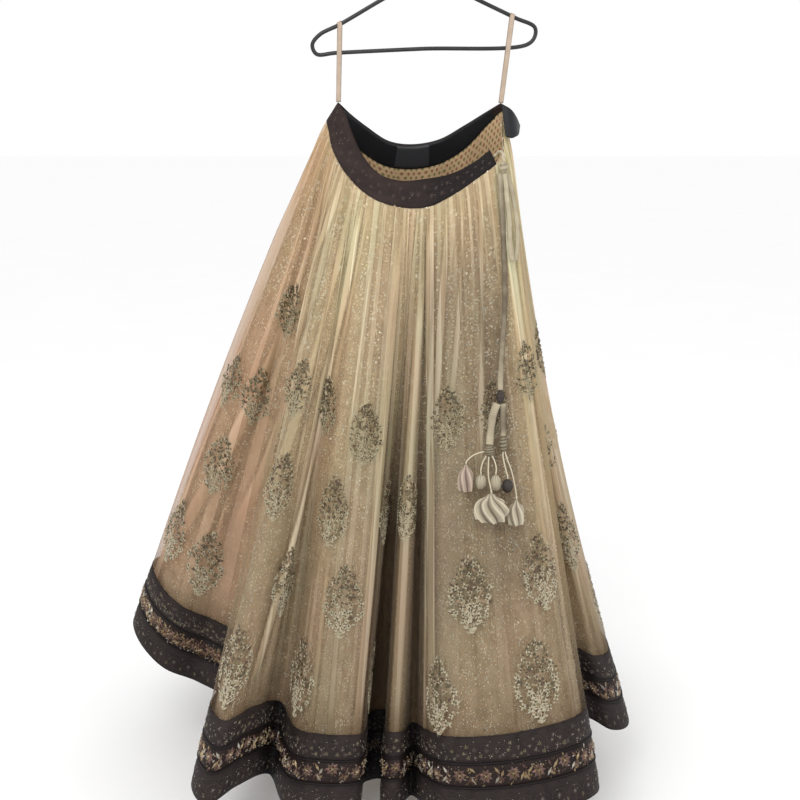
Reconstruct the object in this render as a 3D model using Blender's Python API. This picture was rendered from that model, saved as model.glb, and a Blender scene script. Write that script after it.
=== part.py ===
"""Lehenga skirt, hung by two ribbon loops on a slim hanger.

Frame: metres, +Z up, -Y is the skirt's front. The origin is the inner top of the hanger's hook,
where a rail carries it. Every cloth piece is a wall of even thickness round a grid of points: the
grid runs round the skirt (columns) and down it (rows), between the waistband's lower edge and a
hem that the table of folds gives.
"""
import math

import bpy
import numpy as np

# ---------------------------------------------------------------- driving sizes (metres)
SEAM_GAP = 0.0003            # clearance between pieces that meet
COLUMNS = 156                # points round the skirt
WAIST_SHARE = 0.4            # how far the columns follow the waist's length and not the hem's
GATHER_COLUMNS = 3           # columns in one gather, so 52 gathers in all
GATHER_DEPTH = 0.0100        # how far a gather stands out below the waistband
GATHER_RISE = 0.02           # share of the length in which a gather opens
GATHER_LIMIT = 1.05          # a gather's greatest depth, in spacings of the columns
# Two slow waves that make the gathers uneven: share of the depth, step a column, phase
GATHER_WAVES = ((0.30, 0.37, 0.0), (0.25, 1.13, 1.0))
NET_WALL = 0.0012
UNDERSKIRT_WALL = 0.0012
BORDER_WALL = 0.0022
BAND_WALL = 0.0030
FACING_WALL = 0.0010
LABEL_WALL = 0.0010
NET_START = 0.0014           # how far below the band's edge the gathered cloth starts
NET_SHIFT = 0.0008           # net's middle, outside the band's middle
UNDERSKIRT_START = 0.0045
UNDERSKIRT_SHIFT = -0.0010   # underskirt's middle at the waist, inside the band's middle
UNDERSKIRT_DROP_IN = -0.0070 # how much further in it falls below the gathers
CLOTH_LENGTH = 1.08          # band's lower edge to hem, along the cloth
UPPER_STRIP = 0.046          # hem border's strips, top to bottom
FLORAL_STRIP = 0.040
LOWER_STRIP = 0.050
UNDERSKIRT_SHORTER = 0.075   # the underskirt ends this far above the hem

# Share of the cloth's length at each row of the net
NET_ROWS = (0.0, 0.03, 0.11, 0.26, 0.46, 0.68)
UNDERSKIRT_ROWS = (0.0, 0.06, 0.26, 0.46, 0.68)

# The waistband as it sags between its two peaks: its top edge and its lower edge.
WAIST = (
    # name             top x    top y    top z    low x    low y    low z
    ("left peak",     -0.160,  0.000, -0.290,  -0.181,  0.000, -0.322),
    ("left fall",     -0.148, -0.014, -0.308,  -0.177, -0.020, -0.340),
    ("left side",     -0.135, -0.034, -0.341,  -0.170, -0.042, -0.371),
    ("left front",    -0.112, -0.060, -0.386,  -0.146, -0.070, -0.412),
    ("front left",    -0.083, -0.080, -0.415,  -0.106, -0.097, -0.449),
    ("front",         -0.045, -0.094, -0.425,  -0.060, -0.115, -0.467),
    ("front middle",   0.000, -0.098, -0.421,  -0.002, -0.121, -0.469),
    ("front right",    0.040, -0.088, -0.414,   0.042, -0.112, -0.450),
    ("right front",    0.084, -0.062, -0.395,   0.090, -0.090, -0.420),
    ("front end",      0.122, -0.036, -0.368,   0.130, -0.066, -0.390),
    ("opening low",    None,   None,   None,    0.138, -0.046, -0.368),
    ("opening high",   None,   None,   None,    0.137, -0.018, -0.332),
    ("right peak",     0.136,  0.001, -0.291,   0.141,  0.006, -0.306),
    ("right back",     0.112,  0.018, -0.306,   0.117,  0.030, -0.327),
    ("back right",     0.070,  0.036, -0.332,   0.072,  0.052, -0.376),
    ("back",           0.025,  0.052, -0.357,   0.026,  0.068, -0.403),
    ("back middle",   -0.025,  0.058, -0.366,  -0.027,  0.073, -0.413),
    ("back left",     -0.068,  0.051, -0.360,  -0.078,  0.066, -0.406),
    ("left back",     -0.110,  0.031, -0.333,  -0.128,  0.045, -0.374),
    ("left rise",     -0.140,  0.012, -0.309,  -0.165,  0.018, -0.344),
)
BACK_END = 12.0              # rows of WAIST where the band begins, meets at the left peak and ends,
BAND_JOIN = 20.0             # counted on round the ring
FRONT_END = 28.8
BACK_COLUMNS = 25            # points along the band's back strip and its front strip
FRONT_COLUMNS = 28
FACING_COLUMNS = slice(2, 23)
LABEL_COLUMNS = slice(10, 15)
FACING_INSET = 0.03          # share of the band's height left bare above and below
LABEL_INSET = 0.07           # the same on the facing

# The hem, fold by fold, anticlockwise from above. "waist" is the row of WAIST that the fold hangs
# from, and "bulge" is how far the cloth stands outside a straight fall half-way down.
HEM = (
    # name                x       y       z     waist  bulge
    ("left tip",       -0.587,  0.000, -1.305,   0.7,  0.012),
    ("left round",     -0.566, -0.060, -1.325,   1.0,  0.012),
    ("left face",      -0.510, -0.105, -1.362,   1.4,  0.010),
    ("left inner",     -0.446, -0.100, -1.394,   1.8,  0.004),
    ("left valley",    -0.372, -0.140, -1.420,   2.2,  0.005),
    ("ridge 1 back",   -0.378, -0.270, -1.425,   2.5,  0.000),
    ("ridge 1 edge",   -0.407, -0.400, -1.432,   2.8,  0.000),
    ("ridge 1 tip",    -0.373, -0.460, -1.433,   3.0,  0.000),
    ("ridge 1 face",   -0.331, -0.410, -1.430,   3.3,  0.000),
    ("valley 1",       -0.283, -0.312, -1.468,   3.7,  0.000),
    ("ridge 2 left",   -0.248, -0.390, -1.480,   3.9,  0.000),
    ("ridge 2 face",   -0.195, -0.428, -1.470,   4.5,  0.000),
    ("ridge 2 right",  -0.127, -0.415, -1.474,   5.3,  0.000),
    ("valley 2 left",  -0.113, -0.295, -1.493,   5.55, 0.000),
    ("valley 2 right", -0.084, -0.285, -1.493,   5.7,  0.000),
    ("ridge 3 left",   -0.078, -0.390, -1.483,   5.78, 0.000),
    ("ridge 3 right",  -0.054, -0.400, -1.478,   5.9,  0.000),
    ("valley 3",       -0.029, -0.340, -1.492,   5.98, 0.000),
    ("ridge 4 left",    0.002, -0.410, -1.470,   6.15, 0.000),
    ("ridge 4 near",    0.030, -0.455, -1.458,   6.6,  0.000),
    ("ridge 4 face",    0.108, -0.474, -1.450,   7.3,  0.000),
    ("ridge 4 wide",    0.200, -0.468, -1.441,   8.1,  0.000),
    ("ridge 4 right",   0.272, -0.435, -1.438,   8.8,  0.000),
    ("ridge 4 edge",    0.298, -0.380, -1.446,   9.3, -0.005),
    ("right valley",    0.262, -0.260, -1.430,   9.9, -0.010),
    ("right inner",     0.305, -0.205, -1.415,  10.3, -0.016),
    ("right face",      0.348, -0.225, -1.428,  10.8, -0.024),
    ("right tip",       0.387, -0.180, -1.443,  11.3, -0.028),
    ("right round",     0.384, -0.100, -1.438,  11.6, -0.024),
    ("back valley 1",   0.285, -0.015, -1.410,  12.0, -0.014),
    ("back ridge 1",    0.352,  0.125, -1.425,  12.4, -0.010),
    ("back valley 2",   0.268,  0.190, -1.412,  12.9,  0.000),
    ("back ridge 2",    0.312,  0.290, -1.418,  13.3,  0.000),
    ("ridge 2 round",   0.255,  0.345, -1.425,  13.7,  0.000),
    ("back valley 3",   0.165,  0.245, -1.440,  14.1,  0.000),
    ("back ridge 3",    0.090,  0.385, -1.430,  14.8,  0.000),
    ("back valley 4",  -0.010,  0.265, -1.455,  15.5,  0.000),
    ("back ridge 4",   -0.110,  0.400, -1.430,  16.3,  0.000),
    ("back valley 5",  -0.190,  0.255, -1.440,  17.1,  0.000),
    ("back ridge 5",   -0.300,  0.360, -1.410,  17.8,  0.000),
    ("back valley 6",  -0.335,  0.195, -1.410,  18.4,  0.005),
    ("back ridge 6",   -0.490,  0.235, -1.360,  18.9,  0.008),
    ("back valley 7",  -0.450,  0.095, -1.365,  19.4,  0.010),
    ("left back edge", -0.560,  0.075, -1.318,  20.2,  0.004),
)
SIDE_SEAM = "right round"    # fold under the right side opening

# Hanger: the frame's centre line, clockwise from its apex, in the plane y = 0.
HANGER_TUBE = 0.0072
HANGER = (
    # name              x       z
    ("apex",           0.000, -0.070),
    ("right arm",      0.091, -0.112),
    ("right shoulder", 0.159, -0.143),
    ("right corner",   0.194, -0.159),
    ("right end",      0.194, -0.176),
    ("bar right",      0.180, -0.189),
    ("bar middle",    -0.010, -0.196),
    ("bar left",      -0.163, -0.203),
    ("left end low",  -0.199, -0.205),
    ("left end",      -0.206, -0.189),
    ("left corner",   -0.193, -0.172),
    ("left shoulder", -0.156, -0.154),
    ("left arm",      -0.077, -0.110),
)
HANGER_POINTS = 52
HOOK_WIRE = 0.0040
HOOK_INNER_RADIUS = 0.021
HOOK_RISE = 0.012            # straight wire above the apex
HOOK_ARC = (-50, 195, 35)    # degrees: from, to, step
HOOK_POINTS = 26

# The back band's right end, turned over outwards: its folded edge to its free edge.
TURNED_END = (
    # name          top x    top y    top z    low x    low y    low z
    ("fold",         0.137,  0.000, -0.292,   0.143, -0.031, -0.349),
    ("near fold",    0.153, -0.006, -0.302,   0.154, -0.032, -0.352),
    ("near edge",    0.164,  0.000, -0.316,   0.162, -0.026, -0.350),
    ("free edge",    0.172,  0.012, -0.331,   0.168, -0.012, -0.346),
)
TURNED_COLUMNS = 8
TURNED_ROWS = 4

# Ribbon loops: where each passes over the frame and where it is sewn on.
RIBBON_WIDTH = 0.009
RIBBON_WALL = 0.0010
RIBBON_CLEARANCE = 0.0008    # ribbon to hanger tube
RIBBON_FOOT = 0.0016         # half the distance of its two ends where they are sewn on
RIBBON_LIFT = 0.0031         # that place, above the band's peak
LOOPS = (
    # name          over x   over z   bar z    sewn x   sewn z
    ("loop_left",   -0.156, -0.154, -0.203,  -0.160, -0.290),
    ("loop_right",   0.153, -0.140, -0.190,   0.136, -0.292),
)

# Drawstring. Tapes are flat fabric tubes: width, then the route of their middle. Every route
# hangs against the front, a few millimetres off the net.
TAPE_WALL = 0.0022
TAPES = {
    "dori_tail": (0.0100, (
        (0.1300, -0.0852, -0.4125), (0.1304, -0.0935, -0.4250), (0.1308, -0.1037, -0.4489),
        (0.1336, -0.1266, -0.5083), (0.1352, -0.1462, -0.5622), (0.1355, -0.1715, -0.6260),
        (0.1330, -0.1890, -0.6630), (0.1296, -0.2035, -0.6999), (0.1262, -0.2250, -0.7487),
        (0.1247, -0.2425, -0.7703))),
    "dori_bow": (0.0085, (
        (0.1375, -0.0885, -0.4120), (0.1390, -0.0985, -0.4260), (0.1405, -0.1107, -0.4484),
        (0.1440, -0.1231, -0.4822), (0.1450, -0.1360, -0.5160), (0.1460, -0.1470, -0.5446),
        (0.1510, -0.1480, -0.5600), (0.1560, -0.1400, -0.5560), (0.1590, -0.1310, -0.5393),
        (0.1600, -0.1180, -0.5090), (0.1565, -0.1020, -0.4718), (0.1510, -0.0900, -0.4411),
        (0.1470, -0.0850, -0.4250), (0.1425, -0.0835, -0.4120))),
    "dori_left": (0.0130, (
        (0.1195, -0.2455, -0.7937), (0.1150, -0.2500, -0.8030), (0.1110, -0.2560, -0.8150),
        (0.1075, -0.2670, -0.8350), (0.1048, -0.2808, -0.8570))),
    "dori_right": (0.0100, (
        (0.1300, -0.2420, -0.7947), (0.1298, -0.2480, -0.8080), (0.1294, -0.2570, -0.8240),
        (0.1289, -0.2695, -0.8445))),
}
STRING = 0.0024
STRING_GAP = 0.0005          # a string's end to the piece it meets
STRING_DROP = 0.0040         # its last stretch, straight down
STRINGS = (
    # name                  leaves        ends on         points between
    ("string_bud",          "wrap_left",  "bud_pink",     ((0.0870, -0.2860, -0.8700),
                                                           (0.0740, -0.2960, -0.8730))),
    ("string_bead_left",    "wrap_left",  "bead_left",    ((0.0935, -0.2870, -0.8860),
                                                           (0.0895, -0.2960, -0.8980))),
    ("string_tassel_main",  "wrap_left",  "tassel_main",  ((0.1030, -0.2880, -0.8860),
                                                           (0.1022, -0.3000, -0.9050),
                                                           (0.1040, -0.3230, -0.9175))),
    ("string_bead_right",   "wrap_left",  "bead_right",   ((0.1130, -0.2880, -0.8830),
                                                           (0.1160, -0.2960, -0.8950))),
    ("string_tassel_right", "wrap_right", "tassel_right", ((0.1345, -0.2760, -0.8800),
                                                           (0.1430, -0.2870, -0.9030),
                                                           (0.1485, -0.3080, -0.9300))),
    ("string_bead_dark",    "wrap_right", "bead_dark",    ((0.1285, -0.2770, -0.8790),
                                                           (0.1325, -0.2900, -0.8980))),
)
NECK_TUBE = 0.0045
NECK_ROUTE = (                # out of the end of the front band's casing, down to the knot
    (0.1203, -0.0555, -0.3839), (0.1236, -0.0533, -0.3814), (0.1278, -0.0558, -0.3762),
    (0.1326, -0.0660, -0.3752), (0.1354, -0.0780, -0.3810), (0.1358, -0.0850, -0.3872),
    (0.1358, -0.0850, -0.3912))

# Knots and beads: egg shapes, half width and half height.
BEADS = (
    # name               x        y        z       half w  half h  colour
    ("dori_knot",       0.1358, -0.0850, -0.4020, 0.0080, 0.0100, "ribbon"),
    ("dori_knot_low",   0.1246, -0.2432, -0.7825, 0.0070, 0.0115, "band"),
    ("wrap_left",       0.1045, -0.2820, -0.8675, 0.0085, 0.0100, "ivory"),
    ("wrap_right",      0.1289, -0.2700, -0.8600, 0.0070, 0.0150, "ivory"),
    ("bead_left",       0.0895, -0.3020, -0.9171, 0.0095, 0.0125, "ivory"),
    ("bead_right",      0.1148, -0.3030, -0.9186, 0.0090, 0.0140, "ivory"),
    ("bead_dark",       0.1350, -0.3025, -0.9239, 0.0095, 0.0120, "band"),
)

# Cloth tassels: pleated cups that hang mouth down.
TASSELS = (
    # name               x        y        z      radius  height pleats colour
    ("bud_pink",        0.0640, -0.3040, -0.9085, 0.0120, 0.0460, 5, "pink"),
    ("tassel_main",     0.1050, -0.3350, -0.9500, 0.0255, 0.0450, 7, "ivory"),
    ("tassel_right",    0.1490, -0.3220, -0.9640, 0.0125, 0.0420, 5, "ivory"),
)
PLEAT_SIDES = 4              # sides of a tassel in one pleat
TASSEL_HOLLOW = 0.14         # height of the mouth's inner point above its rim, as a share
TASSEL_PROFILE = (
    # down the height  radius share  pleat depth
    (0.00,             0.20,         0.00),
    (0.12,             0.34,         0.04),
    (0.30,             0.80,         0.10),
    (0.55,             1.00,         0.12),
    (0.80,             0.96,         0.14),
    (1.00,             0.78,         0.20),
)
BEAD_RINGS = 7
BEAD_SIDES = 10
FINE_STEPS = 4000            # steps in which a curve's length is measured
SHARP_ANGLE = math.radians(50)

COLOURS = {
    # name          red    green  blue   roughness metallic
    "net":         (0.56, 0.45, 0.32, 0.75, 0.0),
    "underskirt":  (0.50, 0.40, 0.25, 0.55, 0.1),
    "band":        (0.050, 0.035, 0.033, 0.80, 0.0),
    "border":      (0.055, 0.042, 0.042, 0.80, 0.0),
    "floral":      (0.160, 0.085, 0.065, 0.45, 0.3),
    "facing":      (0.012, 0.012, 0.014, 0.85, 0.0),
    "label":       (0.030, 0.030, 0.032, 0.60, 0.0),
    "ribbon":      (0.58, 0.42, 0.30, 0.70, 0.0),
    "hanger":      (0.010, 0.010, 0.010, 0.45, 0.0),
    "ivory":       (0.66, 0.60, 0.48, 0.65, 0.0),
    "pink":        (0.50, 0.38, 0.32, 0.65, 0.0),
}


# ---------------------------------------------------------------- curves and grids
def smooth_curve(points, closed):
    """Centripetal Catmull-Rom curve through points; returns its function and its knots."""
    points = np.asarray(points, float)
    if closed:
        padded = np.vstack([points[-1:], points, points[:2]])
    else:
        padded = np.vstack([2 * points[0] - points[1], points, 2 * points[-1] - points[-2]])
    steps = np.sqrt(np.linalg.norm(np.diff(padded, axis=0), axis=1))[:, None]
    slopes = np.diff(padded, axis=0) / steps
    before, after = steps[:-1], steps[1:]
    tangents = (slopes[:-1] * after + slopes[1:] * before) / (before + after)
    knots = np.concatenate([[0.0], np.cumsum(steps[1:-1, 0])])

    def at(places):
        places = np.asarray(places, float)
        span = np.clip(np.searchsorted(knots, places, side="right") - 1, 0, len(knots) - 2)
        width = (knots[span + 1] - knots[span])[:, None]
        t = (places - knots[span])[:, None] / width
        start, end = padded[1 + span], padded[2 + span]
        return ((2 * t**3 - 3 * t**2 + 1) * start + (t**3 - 2 * t**2 + t) * width * tangents[span]
                + (3 * t**2 - 2 * t**3) * end + (t**3 - t**2) * width * tangents[span + 1])

    return at, knots


def even_places(at, knots, count, closed):
    """Places along a curve that split its length evenly."""
    fine = np.linspace(knots[0], knots[-1], FINE_STEPS)
    length = np.concatenate([[0.0], np.cumsum(np.linalg.norm(np.diff(at(fine), axis=0), axis=1))])
    return np.interp(np.linspace(0.0, length[-1], count, endpoint=not closed), length, fine)


def waist_edge(edge, rows):
    """Points on the waistband's top (0) or lower (1) edge at rows of WAIST, which may be fractions."""
    table = [row[1 + 3 * edge:4 + 3 * edge] for row in WAIST]
    if edge == 1:
        at, knots = smooth_curve(table, closed=True)
        return at(np.interp(np.asarray(rows) % len(table), np.arange(len(table) + 1), knots))
    first, last = int(min(rows)), int(math.ceil(max(rows)))
    at, knots = smooth_curve([table[row % len(table)] for row in range(first, last + 1)], closed=False)
    return at(np.interp(rows, np.arange(first, last + 1), knots))


def grid_normals(grid, closed):
    """Unit normals of a grid of points, outwards from the skirt."""
    if closed:
        along = np.roll(grid, -1, axis=0) - np.roll(grid, 1, axis=0)
    else:
        along = np.gradient(grid, axis=0)
    down = np.gradient(grid, axis=1)
    normals = np.cross(down, along)
    return normals / np.linalg.norm(normals, axis=2, keepdims=True)


def moved_out(grid, distance, closed):
    """The grid moved along its normals; distance may be a number or one value a point."""
    return grid + grid_normals(grid, closed) * np.broadcast_to(distance, grid.shape[:2])[:, :, None]


def hem_columns():
    """Hem point, waist row and bulge of each column, and the side seam's column.

    The columns are spaced by a share of the hem's length and a share of the waist's, so that both
    the wide folds below and the gathers above have enough of them.
    """
    at, knots = smooth_curve([row[1:4] for row in HEM], closed=True)
    waist_rows = [row[4] for row in HEM] + [HEM[0][4] + len(WAIST)]
    bulges = [row[5] for row in HEM] + [HEM[0][5]]
    fine = np.linspace(0.0, knots[-1], FINE_STEPS)
    hem, waist = at(fine), waist_edge(1, np.interp(fine, knots, waist_rows))
    shares = [np.cumsum(np.linalg.norm(np.diff(line, axis=0), axis=1)) for line in (hem, waist)]
    hem_share, waist_share = (np.concatenate([[0.0], share / share[-1]]) for share in shares)
    position = hem_share * (1.0 - WAIST_SHARE) + waist_share * WAIST_SHARE
    places = np.interp(np.arange(COLUMNS) / COLUMNS, position, fine)
    seam_fold = [row[0] for row in HEM].index(SIDE_SEAM)
    seam_column = round(np.interp(knots[seam_fold], fine, position) * COLUMNS)
    return at(places), np.interp(places, knots, waist_rows), np.interp(places, knots, bulges), seam_column


def skirt_grid(rows, gathered, start=NET_START):
    """The skirt's middle surface at shares of the length: straight falls, bulges and gathers.

    Each column falls from the waist to its fold at the hem, so that folds deepen downwards. Small
    gathers stand out below the band, open at once and fade towards the hem.
    """
    hem, waist_rows, bulges, _ = hem_columns()
    rows = np.asarray(rows)
    waist = waist_edge(1, waist_rows)
    fall = hem - waist
    waist = waist + fall * (start / np.linalg.norm(fall, axis=1))[:, None]
    grid = waist[:, None] + (hem - waist)[:, None] * rows[None, :, None]
    outwards = hem * (1.0, 1.0, 0.0)
    outwards = outwards / np.linalg.norm(outwards, axis=1)[:, None]
    grid = grid + (outwards * bulges[:, None])[:, None] * np.sin(np.pi * rows)[None, :, None]
    if not gathered:
        return grid
    column = np.arange(COLUMNS)
    wave = 0.5 + 0.5 * np.cos(2 * np.pi * column / GATHER_COLUMNS)
    uneven = 1.0 + sum(share * np.sin(step * column + phase) for share, step, phase in GATHER_WAVES)
    opening = rows / (rows + GATHER_RISE) * (1.0 - rows)
    depth = GATHER_DEPTH * (wave * uneven)[:, None] * opening[None, :]
    spacing = np.linalg.norm(np.cross(np.roll(grid, -1, axis=0) - grid, np.gradient(grid, axis=1)), axis=2)
    spacing = spacing / np.linalg.norm(np.gradient(grid, axis=1), axis=2)
    return moved_out(grid, np.minimum(depth, GATHER_LIMIT * spacing), closed=True)


# ---------------------------------------------------------------- objects
def material(name):
    """A plain Principled material from the table of colours."""
    found = bpy.data.materials.get(name)
    if found:
        return found
    made = bpy.data.materials.new(name)
    made.use_nodes = True
    red, green, blue, roughness, metallic = COLOURS[name]
    shader = made.node_tree.nodes["Principled BSDF"]
    shader.inputs["Base Color"].default_value = (red, green, blue, 1.0)
    shader.inputs["Roughness"].default_value = roughness
    shader.inputs["Metallic"].default_value = metallic
    return made


def add_object(name, data, colour):
    """Puts mesh or curve data into the scene under its piece's name."""
    made = bpy.data.objects.new(name, data)
    bpy.context.collection.objects.link(made)
    data.materials.append(material(colour))
    return made


def add_mesh(name, points, faces, colour):
    """A closed mesh whose faces point outwards."""
    corners = points[np.array([face[:3] for face in faces])]
    fourth = points[np.array([face[-1] for face in faces])]
    volume = np.einsum("ij,ij->i", corners[:, 0], np.cross(corners[:, 1], corners[:, 2])).sum()
    volume += np.einsum("ij,ij->i", corners[:, 0], np.cross(corners[:, 2], fourth)).sum()
    if volume < 0:
        faces = [face[::-1] for face in faces]
    mesh = bpy.data.meshes.new(name)
    mesh.from_pydata(points.tolist(), [], faces)
    mesh.shade_smooth()
    mesh.set_sharp_from_angle(angle=SHARP_ANGLE)
    return add_object(name, mesh, colour)


def add_wall(name, grid, thickness, colour, closed=False, seam=0.0, normals=None):
    """A cloth wall round a grid of middle points; seam draws its two end columns in.

    Normals are given where the piece is part of a larger surface, so that it meets its neighbour.
    """
    grid = grid.copy()
    if normals is None:
        normals = grid_normals(grid, closed)
    if seam:
        first, last = grid[1] - grid[0], grid[-2] - grid[-1]
        grid[0] += first * (seam / np.linalg.norm(first, axis=1))[:, None]
        grid[-1] += last * (seam / np.linalg.norm(last, axis=1))[:, None]
    columns, rows = grid.shape[:2]
    outer = (grid + normals * thickness / 2).reshape(-1, 3)
    inner = (grid - normals * thickness / 2).reshape(-1, 3)
    back = columns * rows
    faces = []
    for i in range(columns if closed else columns - 1):
        near, far = i * rows, (i + 1) % columns * rows
        for j in range(rows - 1):
            faces.append((near + j, near + j + 1, far + j + 1, far + j))
            faces.append((back + near + j, back + far + j, back + far + j + 1, back + near + j + 1))
        low = rows - 1
        faces.append((near, far, back + far, back + near))
        faces.append((near + low, back + near + low, back + far + low, far + low))
    if not closed:
        end = (columns - 1) * rows
        for j in range(rows - 1):
            faces.append((j, back + j, back + j + 1, j + 1))
            faces.append((end + j, end + j + 1, back + end + j + 1, back + end + j))
    return add_mesh(name, np.vstack([outer, inner]), faces, colour)


def add_tube(name, points, diameter, colour, cyclic=False):
    """A round tube along points, as a curve with filled ends."""
    curve = bpy.data.curves.new(name, "CURVE")
    curve.dimensions = "3D"
    curve.bevel_depth = diameter / 2
    curve.bevel_resolution = 2
    curve.use_fill_caps = True
    spline = curve.splines.new("POLY")
    spline.points.add(len(points) - 1)
    for place, point in zip(spline.points, points):
        place.co = (*point, 1.0)
    spline.use_cyclic_u = cyclic
    return add_object(name, curve, colour)


# ---------------------------------------------------------------- skirt
def build_net():
    """The gathered net overlay in two widths, seamed at the left side and under the opening."""
    border_top = 1.0 - (UPPER_STRIP + FLORAL_STRIP + LOWER_STRIP) / CLOTH_LENGTH
    grid = skirt_grid(NET_ROWS + (border_top - SEAM_GAP / CLOTH_LENGTH,), gathered=True)
    grid = moved_out(grid, NET_SHIFT, closed=True)
    side = hem_columns()[3]
    grid = np.vstack([grid, grid[:1]])
    normals = grid_normals(grid[:-1], closed=True)
    normals = np.vstack([normals, normals[:1]])
    for name, columns in (("net_front", slice(0, side + 1)), ("net_back", slice(side, COLUMNS + 1))):
        add_wall(name, grid[columns], NET_WALL, "net", seam=SEAM_GAP / 2, normals=normals[columns])


def build_underskirt():
    """The sequinned and lined layer, a few millimetres inside the net, ending behind the border."""
    rows = np.array(UNDERSKIRT_ROWS + (1.0 - UNDERSKIRT_SHORTER / CLOTH_LENGTH,))
    grid = skirt_grid(rows, gathered=False, start=UNDERSKIRT_START)
    inwards = UNDERSKIRT_SHIFT + UNDERSKIRT_DROP_IN * np.minimum(rows / UNDERSKIRT_ROWS[2], 1.0)
    add_wall("underskirt", moved_out(grid, inwards, closed=True), UNDERSKIRT_WALL, "underskirt", closed=True)


def build_border():
    """Three strips round the hem, edge to edge."""
    lower_edge = 1.0
    for name, height, colour in (("border_lower", LOWER_STRIP, "border"),
                                 ("border_floral", FLORAL_STRIP, "floral"),
                                 ("border_upper", UPPER_STRIP, "border")):
        upper_edge = lower_edge - height / CLOTH_LENGTH
        rows = (upper_edge + SEAM_GAP / CLOTH_LENGTH, lower_edge)
        grid = moved_out(skirt_grid(rows, gathered=True), NET_SHIFT, closed=True)
        add_wall(name, grid, BORDER_WALL, colour, closed=True)
        lower_edge = upper_edge


def band_grid(rows):
    """The waistband's middle surface from its top edge to its lower edge, at rows of WAIST."""
    top, low = waist_edge(0, rows), waist_edge(1, rows)
    shares = np.linspace(0.0, 1.0, 3)[None, :, None]
    return top[:, None] * (1.0 - shares) + low[:, None] * shares


def inner_layer(grid, shift, columns, inset):
    """Part of a grid, moved along its normals and kept clear of its two long edges."""
    layer = moved_out(grid, shift, closed=False)[columns]
    shares = np.linspace(inset, 1.0 - inset, 3)[None, :, None]
    return layer[:, :1] * (1.0 - shares) + layer[:, 2:] * shares


def build_waistband():
    """Front strip, back strip, the back strip's black facing and its bare label."""
    back_rows = np.linspace(BACK_END, BAND_JOIN, BACK_COLUMNS)
    front_rows = np.linspace(BAND_JOIN, FRONT_END, FRONT_COLUMNS)
    band = band_grid(np.concatenate([back_rows, front_rows[1:]]))
    normals = grid_normals(band, closed=False)
    back, front = slice(0, BACK_COLUMNS), slice(BACK_COLUMNS - 1, None)
    add_wall("waistband_back", band[back], BAND_WALL, "band", seam=SEAM_GAP / 2, normals=normals[back])
    add_wall("waistband_front", band[front], BAND_WALL, "band", seam=SEAM_GAP / 2, normals=normals[front])
    facing_shift = -(BAND_WALL + FACING_WALL) / 2 - SEAM_GAP
    facing = inner_layer(band[back], facing_shift, FACING_COLUMNS, FACING_INSET)
    add_wall("facing_back", facing, FACING_WALL, "facing")
    label_shift = facing_shift - (FACING_WALL + LABEL_WALL) / 2 - SEAM_GAP
    label = inner_layer(band[back], label_shift, LABEL_COLUMNS, LABEL_INSET)
    add_wall("label", label, LABEL_WALL, "label")
    edges = []
    for edge in (0, 1):
        at, knots = smooth_curve([row[1 + 3 * edge:4 + 3 * edge] for row in TURNED_END], closed=False)
        edges.append(at(even_places(at, knots, TURNED_COLUMNS, closed=False)))
    shares = np.linspace(0.0, 1.0, TURNED_ROWS)[None, :, None]
    turned = edges[0][:, None] * (1.0 - shares) + edges[1][:, None] * shares
    add_wall("waistband_turned_end", turned, BAND_WALL, "facing")


# ---------------------------------------------------------------- hanger and loops
def hanger_line(count):
    """The frame's centre line as evenly spaced points."""
    at, knots = smooth_curve([(x, 0.0, z) for _, x, z in HANGER], closed=True)
    return at(even_places(at, knots, count, closed=True))


def build_hanger():
    """The hanger's tube frame and its wire hook."""
    add_tube("hanger_frame", hanger_line(HANGER_POINTS), HANGER_TUBE, "hanger", cyclic=True)
    radius = HOOK_INNER_RADIUS + HOOK_WIRE / 2
    first, last, step = HOOK_ARC
    turns = np.radians(np.arange(first, last + 1, step))
    arc = [(radius * math.cos(a), 0.0, radius * math.sin(a) - HOOK_INNER_RADIUS) for a in turns]
    foot = HANGER[0][2] + HANGER_TUBE / 2 + SEAM_GAP
    route = [(0.0, 0.0, foot), (0.0, 0.0, foot + HOOK_RISE)] + arc
    at, knots = smooth_curve(route, closed=False)
    add_tube("hanger_hook", at(even_places(at, knots, HOOK_POINTS, closed=False)), HOOK_WIRE, "hanger")


def build_loops():
    """Two flat ribbon loops, each over an arm of the frame, round its bar and down to a peak."""
    reach = HANGER_TUBE / 2 + RIBBON_WALL / 2 + RIBBON_CLEARANCE
    line = hanger_line(FINE_STEPS)
    for name, over_x, over_z, bar_z, sewn_x, sewn_z in LOOPS:
        nearest = np.argmin(np.linalg.norm(line - (over_x, 0.0, over_z), axis=1))
        head = line[nearest]
        arm = line[nearest + 1] - line[nearest - 1]
        arm = arm / np.linalg.norm(arm) * (1.0 if arm[0] > 0 else -1.0)
        above = np.array((-arm[2], 0.0, arm[0]))
        foot = np.array((sewn_x, 0.0, sewn_z + RIBBON_LIFT))
        bar = head + (foot - head) * (head[2] - bar_z + reach) / (head[2] - foot[2])
        turns = np.radians(np.arange(0, 181, 30))
        top = [head + above * reach * math.sin(a) - (0.0, reach * math.cos(a), 0.0) for a in turns]
        down = [bar + (foot - bar) * share + (0.0, reach + (RIBBON_FOOT - reach) * share, 0.0)
                for share in np.linspace(0.0, 1.0, 5)]
        up = [point * (1.0, -1.0, 1.0) for point in reversed(down)]
        path = np.array(top + down + [foot - (0.0, 0.0, RIBBON_FOOT)] + up)
        half = np.array([arm] * len(top) + [(1.0, 0.0, 0.0)] * (len(path) - len(top))) * RIBBON_WIDTH / 2
        add_wall(name, np.stack([path - half, path + half], axis=1), RIBBON_WALL, "ribbon", closed=True)


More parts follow.
